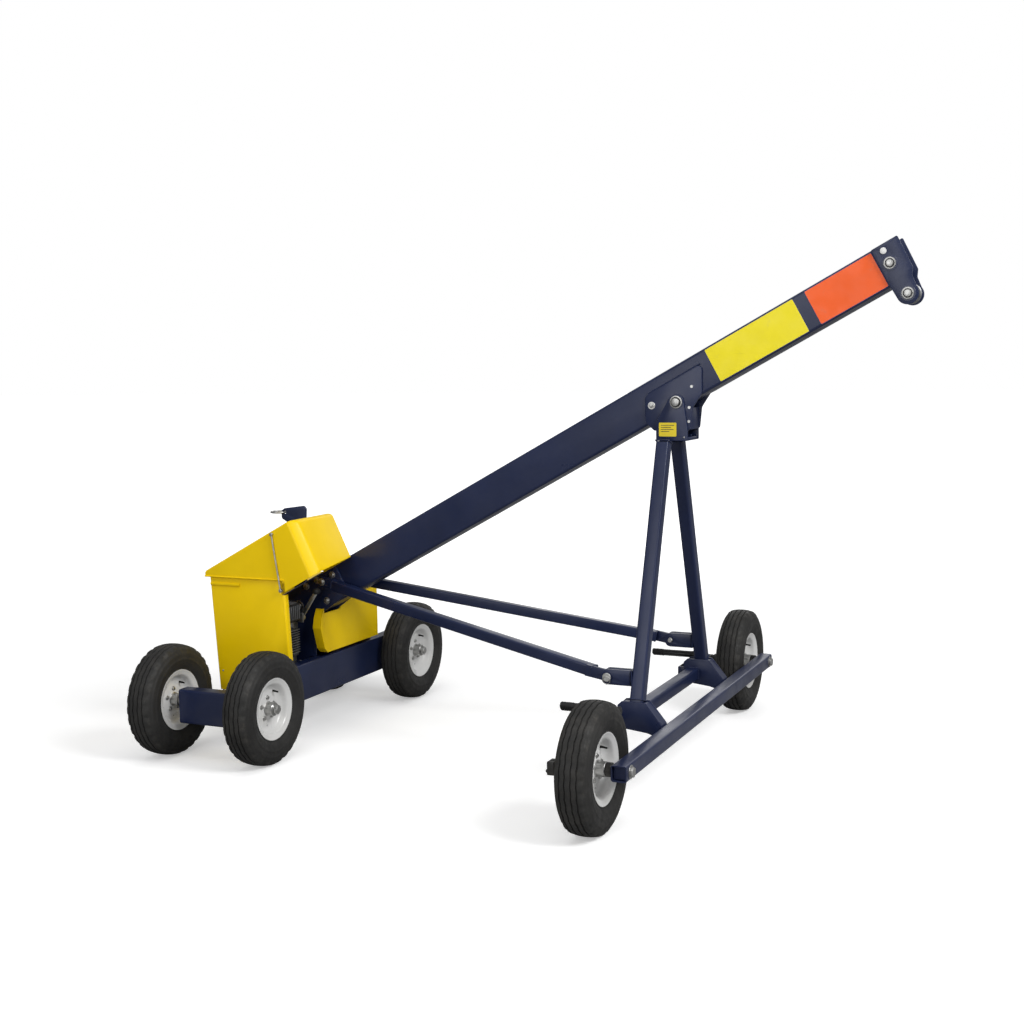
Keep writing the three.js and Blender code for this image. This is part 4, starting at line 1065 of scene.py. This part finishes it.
en = Piece("engine", BLACK, "frame", ["engine_block"])
en.add(b_box(-1655, -1500, -272, -152, 300, 438), 9, 3)
en.add(b_box(-1650, -1490, -290, -160, 256.6, 302), 4, 2)
en.add(b_box(-1505, -1462, -256, -180, 322, 420), 6, 2)
for k in range(10):
    en.add(b_box(-1512, -1447, -268, -168, 326 + k * 9.6, 329.4 + k * 9.6), 0.8, 1, mat=ALLOY)
en.add(b_lathe([(0, 0), (68, 0), (73, -2), (74, -6), (74, -22), (71, -27), (60, -30), (56, -36), (34, -38), (30, -35.5), (0, -35.5)], (-1570, -281, 372), "y", 64), mat=BLACK)
for i in range(18):
    a = 2 * math.pi * i / 18
    en.add(b_tube((-1570 + 36 * math.cos(a), -318.6, 372 + 36 * math.sin(a)), (-1570 + 53 * math.cos(a), -317.6, 372 + 53 * math.sin(a)), 4.2, 2.2, 0.8, 0, (0, 1, 0), cap=True), mat=ALLOY)
en.add(b_tube((-1508, -300, 406), (-1480, -300, 406), 13, 12, 4, 0, cap=True), 1.5, 2, mat=PLASTIC)
for x0, z0 in ((-1642, 312), (-1512, 312), (-1642, 426), (-1512, 426)):
    bolt(en, (x0, -272, z0), (0, -1, 0), 5, 4, True)
    bolt(en, (x0, -152, z0), (0, 1, 0), 5, 1.4, False)
for x0 in (-1638, -1502):
    for y0 in (-282, -168):
        bolt(en, (x0, y0, 296), (0, 0, 1), 5.5, 9, True)
# spark plug, its boot and lead
en.add(b_lathe([(0, 0), (6, 0), (6, 8), (4.5, 10), (4.5, 18), (0, 18)], (-1470, -214, 418), (0.35, 0, 1), 16), mat=WHITE)
en.add(b_rod(smooth_path([(-1463, -214, 436), (-1460, -214, 443), (-1478, -205, 443), (-1520, -176, 443), (-1560, -172, 441), (-1590, -168, 430)], 6), 3.0, 10), mat=PLASTIC)
# air filter behind the silencer
en.add(b_box(-1660, -1600, -166, -152.5, 350, 420), 4, 2, mat=PLASTIC)
en.done()

ft = Piece("tank", BLACK, "frame", ["fuel_tank"], smooth=40)
ft.add(b_box(-1665, -1510, -290, -150, 452, 528), 13, 5)
ft.add(b_poly(fillet([(-1667, 488.6), (-1508, 488.6), (-1508, 491.4), (-1667, 491.4)], 0.8), -292, -148), 0.5, 1)
ft.add(b_lathe([(0, 0), (21, 0), (24, 1.5), (24, 12), (22, 15), (12, 17), (0, 17.3)], (-1590, -220, 527.6), "z", 40), mat=PLASTIC)
for i in range(16):
    a = 2 * math.pi * i / 16
    ft.add(b_cyl((-1590 + 23.3 * math.cos(a), -220 + 23.3 * math.sin(a), 529.5), "z", 1.6, 10.5, 8), mat=PLASTIC)
for yy in (-262, -178):
    ft.add(b_box(-1650, -1525, yy - 6, yy + 6, 443, 453), 1.5, 1, mat=ALLOY)
ft.done()
mf = Piece("silencer", BLACK, "frame", ["muffler"], smooth=40)
mf.add(b_box(-1500, -1440, -280, -170, 446, 522), 14, 5)
for yy in (-270, -180):
    mf.add(b_poly(fillet([(-1502, 444), (-1438.6, 444), (-1438.6, 524), (-1502, 524)], 15, 5), yy - 1.6, yy + 1.6), 0.6, 1)
mf.add(b_lathe([(9, -6), (11, -6), (11, 12), (9, 12)], (-1470, -225, 523), (0.35, 0, 1), 24), mat=ZINC)
for k in range(7):
    mf.add(b_box(-1439.8, -1437.8, -262 + k * 13, -256 + k * 13, 458, 510), 0.5, 1, mat=ALLOY)
mf.add(b_rod(smooth_path([(-1470, -200, 448), (-1470, -200, 430), (-1476, -200, 412)], 8), 10, 20), mat=ALLOY)
mf.done()

cl = Piece("clutch_handle", ZINC, "clutch_lever_body", ["clutch_lever"], smooth=40)
cl.add(b_tube((-1462, -130, 453), (-1396, -130, 550), 8, 16, 2.5, 0, cap=True), 0.8, 2)
cl.add(b_cyl((-1462, -138.5, 453), "y", 14, 15.5, 32), 1.5, 2)
bolt(cl, (-1462, -123, 453), (0, 1, 0), 7.5, 4, True)
cl.add(b_lathe([(0, -16), (6, -15.4), (10.5, -11), (12, -4), (12, 4), (10.5, 11), (6, 15.4), (0, 16)], (-1392, -130, 556), "y", 32), mat=PLASTIC)
cl.done()

# covers
nc = Piece("near_shield", YELLOW, "frame", ["near_cover"], smooth=35)
def lean(bm):
    """Leans the near cover backwards: its rear edge by 4 degrees, its front edge by 3."""
    for v in bm.verts:
        t = min(max((v.co.x + 1712.3) / 324.7, 0.0), 1.0)
        v.co.x -= (v.co.z - 257) * (0.0699 * (1 - t) + 0.0507 * t)
    return bm


path = fillet_open([(-1712.3, -68), (-1712.3, -330), (-1387.6, -330), (-1387.6, -306)], [9, 7], 6)
shell = lean(b_sheet(path, 4, 195, 624, "xy"))
shell = b_cut(shell, b_box(-1416, -1360, -340, -40, 571, 660), b_box(-1473, -1360, -340, -40, 180, 285.6))
nc.add(shell, 0.9, 2, 50)
# stiffening lips inside the top and along the rear edge
nc.add(b_box(-1733, -1725.5, -320, -72, 610, 613), 0.6, 1)
nc.add(b_box(-1716, -1424, -325.8, -314, 606, 609), 0.6, 1)
for zz in (320, 430, 540):
    rivet(nc, (-1387.6 - (zz - 257) * 0.0507, -318, zz), (1, 0, 0), 3.6, YELLOW)
for xx in (-1690, -1590, -1490):
    rivet(nc, (xx, -330, 268), (0, -1, 0), 4.0, ZINC)
for k in range(6):
    z0 = 380 + k * 26
    nc.add(lean(b_sheet(fillet_open([(-1711.8, z0), (-1719.3, z0 - 1), (-1719.3, z0 - 4), (-1712.3, z0 - 16)], [1.5, 1.5], 3), 1.6, -280, -130, "xz")), 0.3, 1)
# the hem that shows below the hood
nc.add(b_sheet(fillet_open([(-329.8, 594), (-333.6, 597), (-333.6, 603), (-329.8, 606)], [1.5, 1.5], 3), 1.2, -1731, -1600, "yz"), 0.3, 1)
nc.done()

cv = Piece("far_shield", YELLOW, "frame", ["far_cover"], smooth=35)
loop = fillet_open([(94, 257), (94, 540), (112, 556), (334, 556), (350, 540), (350, 257)], [10, 10, 10, 10], 6)
body_ = b_sheet(loop, -4, -1724, -1439, "yz")
cv.add(b_cut(body_, b_box(-1471, -1390, 60, 400, 200, 285.6)), 0.7, 1, 50)
cv.add(b_sheet(fillet_open([(350, 300), (350, 540), (334, 556), (112, 556), (66.5, 500), (66.5, 477)], [10, 12, 12, 6], 6), 4, -1440, -1404.2, "yz"), 0.7, 1, 50)
cv.add(b_sheet(fillet_open([(-62.5, 477), (-80, 443), (-89, 404), (-62, 320), (-40, 302)], [8, 14, 10], 6), 4, -1440, -1404.2, "yz"), 0.7, 1, 50)
YZ = Matrix(((0, 1, 0, 0), (1, 0, 0, 0), (0, 0, 1, 0), (0, 0, 0, 1)))
front = fillet([(-40, 302), (350, 302), (350, 540), (334, 556), (112, 556), (66.5, 500), (66.5, 477), (59.6, 477), (59.6, 459), (-59.6, 459), (-59.6, 477), (-62.5, 477), (-80, 443), (-89, 404), (-62, 320)],
               [10, 18, 16, 16, 16, 6, 1, 1, 2, 2, 1, 1, 10, 18, 12], 6)
cv.add(b_poly(front, -1408, -1404), 1.6, 3, frame=W @ YZ)
cv.add(b_poly(fillet([(94, 257), (350, 257), (350, 540), (334, 556), (112, 556), (94, 540)], [2, 2, 10, 10, 10, 10], 6), -1724, -1720), 1.4, 2, frame=W @ YZ)
for yy, zz in ((-66, 345), (-76, 412), (332, 322), (326, 534), (122, 538)):
    rivet(cv, (-1404.2, yy, zz), (1, 0, 0), 4.2, YELLOW)
for xx in (-1700, -1580, -1490):
    rivet(cv, (xx, 350, 268), (0, 1, 0), 4.0, ZINC)
for k in range(6):
    z0 = 360 + k * 24
    cv.add(b_sheet(fillet_open([(-1723.5, z0), (-1731, z0 - 1), (-1731.0, z0 - 4), (-1724.0, z0 - 16)], [1.5, 1.5], 3), 1.6, 140, 290, "xz"), 0.3, 1)
cv.done()

# hood
hb = bmesh.new()
HO = [(-1757, 626), (-1757, 646), (-1372, 851), (-1350, 847), (-1264, 667), (-1266, 655), (-1398, 580), (-1400, 626)]
HY0, HY1, CH = -336, -62, 31
a3 = Vector((-1350, 847)); b3 = Vector((-1264, 667))
n3 = len(HO)
lo_ = [hb.verts.new((x, HY0, z)) for x, z in HO]
hi_ = [hb.verts.new((x, HY1, z)) for x, z in HO]
hb.faces.new(lo_)
hb.faces.new(hi_)
for i in range(n3):
    hb.faces.new((lo_[i], lo_[(i + 1) % n3], hi_[(i + 1) % n3], hi_[i]))
bmesh.ops.recalc_face_normals(hb, faces=hb.faces)
# the chamfered near front corner
fd = (b3 - a3).normalized()
fn = Vector((-fd.y, fd.x))
if fn.x < 0:
    fn = -fn
pn = (Vector((fn.x, 0, fn.y)) * 0.75 + Vector((0, -1, 0)) * 0.66).normalized()
pc = Vector((a3.x, HY0, a3.y)) + Vector((0, CH, 0))
bmesh.ops.bisect_plane(hb, geom=hb.verts[:] + hb.edges[:] + hb.faces[:], plane_co=pc, plane_no=pn, clear_outer=True)
bmesh.ops.holes_fill(hb, edges=[e for e in hb.edges if len(e.link_faces) == 1])
bmesh.ops.recalc_face_normals(hb, faces=hb.faces)
if hb.calc_volume(signed=True) < 0:
    bmesh.ops.reverse_faces(hb, faces=hb.faces)
bad = [f for f in hb.faces if f.normal.z < -0.35 or (abs(f.normal.x) > 0.9 and f.calc_center_median().z < 626 and f.calc_center_median().x < -1398)]
bmesh.ops.delete(hb, geom=bad, context="FACES_ONLY")
layer_ = hb.faces.layers.float.new("edge")
es = [e for e in hb.edges if len(e.link_faces) == 2 and e.calc_face_angle(0.0) > math.radians(12)]
bmesh.ops.bevel(hb, geom=es, offset=9.0, offset_type="OFFSET", segments=5, profile=0.5, affect="EDGES", clamp_overlap=True)
up_t = Vector((-S, 0, C))
base_t = Vector((0, 0, MIDZ))
e1 = Vector((0, -345, 0)) + base_t + up_t * 27
e2 = Vector((0, -62, 0)) + base_t + up_t * 58
pl = Vector((C, 0, S)).cross(e2 - e1).normalized()
if pl.z < 0:
    pl = -pl
bmesh.ops.bisect_plane(hb, geom=hb.verts[:] + hb.edges[:] + hb.faces[:], plane_co=e1, plane_no=pl, clear_inner=True)
bmesh.ops.remove_doubles(hb, verts=hb.verts, dist=0.02)
bmesh.ops.dissolve_degenerate(hb, edges=hb.edges, dist=0.02)
bmesh.ops.recalc_face_normals(hb, faces=hb.faces)
if sum((f.normal.z * f.calc_area()) for f in hb.faces) < 0:
    bmesh.ops.reverse_faces(hb, faces=hb.faces)
hd = Piece("hood", YELLOW, "power_hood_body", ["power_hood"], smooth=35)
hb.transform(MM @ W)
me_ = bpy.data.meshes.new("hoodtmp")
hb.to_mesh(me_)
hb.free()
hd.bm.from_mesh(me_)
bpy.data.meshes.remove(me_)
hood = hd.done()
sol = hood.modifiers.new("sheet", "SOLIDIFY")
sol.thickness = 0.0035
sol.offset = -1.0
bv = hood.modifiers.new("edge", "BEVEL")
bv.width = 0.0008
bv.segments = 2
bv.limit_method = "ANGLE"
bv.angle_limit = math.radians(60)

ht = Piece("hood_fittings", YELLOW, "power_hood_body", smooth=40)
ht.add(b_rod([(-1754, -336.5, 628.0), (-1402, -336.5, 628.0)], 2.8, 10))
ht.add(b_rod([(-1747, -320, 633), (-1747, -80, 633)], 6.6, 20), mat=ZINC)
for y0 in (-306, -212, -118):
    ht.add(b_cyl((-1747, y0, 633), "y", 9.2, 34, 24), 0.8, 1, mat=ZINC)
# latch rod on the near side, with its two eyes
rodm = ZINC
ht.add(b_rod([(-1447, -341.5, 803), (-1430, -341.5, 694), (-1412, -341.5, 582)], 3.1, 12), mat=rodm)
for x0, z0 in ((-1446, 797), (-1413, 590)):
    ht.add(b_cyl((x0, -345.5, z0), "y", 7.0, 9.5, 24), 1.0, 2, mat=rodm)
ht.done()

# lifting post, lug and ring
lp = Piece("lift_post", NAVY, "frame", ["lifting_post"])
pb = lambda x: MIDZ + x * S / C + 67 / C + 0.5
lp.add(b_poly([(-1596, pb(-1596)), (-1546, pb(-1546)), (-1546, 800), (-1596, 800)], 28, 50), 2.0, 2)
lp.add(b_poly(fillet([(-1648, 812), (-1610, 790), (-1540, 790), (-1536, 852), (-1546, 864), (-1634, 852), (-1648, 842)], [12, 10, 6, 8, 8, 12, 8], 5), 34, 46, [circle(-1634, 836, 8, 28)]), 1.5, 2)
lp.add(b_poly(fillet([(-1606, 798), (-1538, 798), (-1538, 806), (-1606, 806)], 2), 24, 56), 1.2, 2)
weld(lp, [(-1596, 26.5, pb(-1596) + 1), (-1546, 26.5, pb(-1546) + 1)], 2.8)
weld(lp, [(-1596, 51.5, pb(-1596) + 1), (-1546, 51.5, pb(-1546) + 1)], 2.8)
lp.done()
rg = Piece("lift_ring", ZINC, "lifting_ring_body", ["lifting_ring"], smooth=60)
rg.add(b_rod([(-1664 + 30 * math.cos(2 * math.pi * i / 56), 40 + 30 * math.sin(2 * math.pi * i / 56), 836) for i in range(56)], 4, 16, closed=True))
rg.done()

# ------------------------------------------------------------------------------------------ stage
fm, fnt, fb = new_mat("floor_white")
fcol = mixc(fnt, ramp(fnt, noise(fnt, coords(fnt), 0.7, 2.0), 0.3, 0.7), (0.88, 0.88, 0.88), (0.90, 0.90, 0.90))
lk(fnt, fcol, fb.inputs["Base Color"])
fb.inputs["Roughness"].default_value = 0.9
fb.inputs["Specular IOR Level"].default_value = 0.0
fb.inputs["Emission Color"].default_value = (1, 1, 1, 1)
far_ = fnt.nodes.new("ShaderNodeVectorMath")
far_.operation = "LENGTH"
lk(fnt, coords(fnt), far_.inputs[0])
lk(fnt, ramp(fnt, mul(fnt, far_.outputs["Value"], 0.1), 0.20, 0.60, 0.36, 0.95), fb.inputs["Emission Strength"])
# the floor throws back less light than it shows, as under a cut-out studio picture
flp = fnt.nodes.new("ShaderNodeLightPath")
fdk = fnt.nodes.new("ShaderNodeBsdfDiffuse")
fdk.inputs["Color"].default_value = (0.34, 0.34, 0.34, 1)
fmx = fnt.nodes.new("ShaderNodeMixShader")
lk(fnt, flp.outputs["Is Camera Ray"], fmx.inputs[0])
lk(fnt, fdk.outputs[0], fmx.inputs[1])
lk(fnt, fb.outputs[0], fmx.inputs[2])
for n_ in fnt.nodes:
    if n_.type == "OUTPUT_MATERIAL":
        lk(fnt, fmx.outputs[0], n_.inputs["Surface"])
me = bpy.data.meshes.new("floor")
me.from_pydata([(-60, -60, 0), (60, -60, 0), (60, 60, 0), (-60, 60, 0)], [], [(0, 1, 2, 3)])
floor = bpy.data.objects.new("floor", me)
me.materials.append(fm)
bpy.context.collection.objects.link(floor)

world = bpy.data.worlds.new("studio")
bpy.context.scene.world = world
world.use_nodes = True
bg = world.node_tree.nodes["Background"]
bg.inputs["Color"].default_value = (1, 1, 1, 1)
bg.inputs["Strength"].default_value = 0.36
# a white studio wall behind the crane, which lights it only softly
wt = world.node_tree
white = wt.nodes.new("ShaderNodeBackground")
white.inputs["Color"].default_value = (1, 1, 1, 1)
white.inputs["Strength"].default_value = 1.0
lp_ = wt.nodes.new("ShaderNodeLightPath")
mx_ = wt.nodes.new("ShaderNodeMixShader")
wt.links.new(lp_.outputs["Is Camera Ray"], mx_.inputs[0])
wt.links.new(bg.outputs[0], mx_.inputs[1])
wt.links.new(white.outputs[0], mx_.inputs[2])
wt.links.new(mx_.outputs[0], wt.nodes["World Output"].inputs["Surface"])


def lamp(name, pos, target, size, power, col=(1, 1, 1)):
    l = bpy.data.lights.new(name, "AREA")
    l.shape = "SQUARE"
    l.size = size
    l.energy = power
    l.color = col
    o = bpy.data.objects.new(name, l)
    o.location = pos
    o.rotation_euler = (Vector(target) - Vector(pos)).to_track_quat("-Z", "Y").to_euler()
    bpy.context.collection.objects.link(o)
    return o


lamp("key", (5.2, -1.6, 4.6), (-0.2, 0.0, 0.6), 2.6, 300)
lamp("top", (-0.5, -1.5, 5.5), (-0.4, 0.0, 0.5), 4.0, 55)
lamp("front", (-0.2, -6.6, 2.4), (-0.2, 0.0, 0.8), 4.0, 125)
lamp("back", (-0.6, 6.4, 3.0), (-0.3, 0.0, 0.8), 4.0, 60)

cam = bpy.data.cameras.new("camera")
cam.sensor_width = 36.0
cam.lens = 49.81
cam.clip_end = 200.0
co = bpy.data.objects.new("camera", cam)
Fv, Rv, Uv = Vector((-0.4106, 0.9059, -0.1033)), Vector((0.9113, 0.4113, -0.0152)), Vector((-0.0287, 0.1004, 0.9945))
Rv = Fv.cross(Uv).normalized()
Uv = Rv.cross(Fv).normalized()
Fv.normalize()
m4 = Matrix((( Rv.x, Uv.x, -Fv.x, 2.0022), (Rv.y, Uv.y, -Fv.y, -4.687), (Rv.z, Uv.z, -Fv.z, 1.404), (0, 0, 0, 1)))
co.matrix_world = m4
bpy.context.collection.objects.link(co)
bpy.context.scene.camera = co
bpy.context.scene.view_settings.view_transform = "Standard"
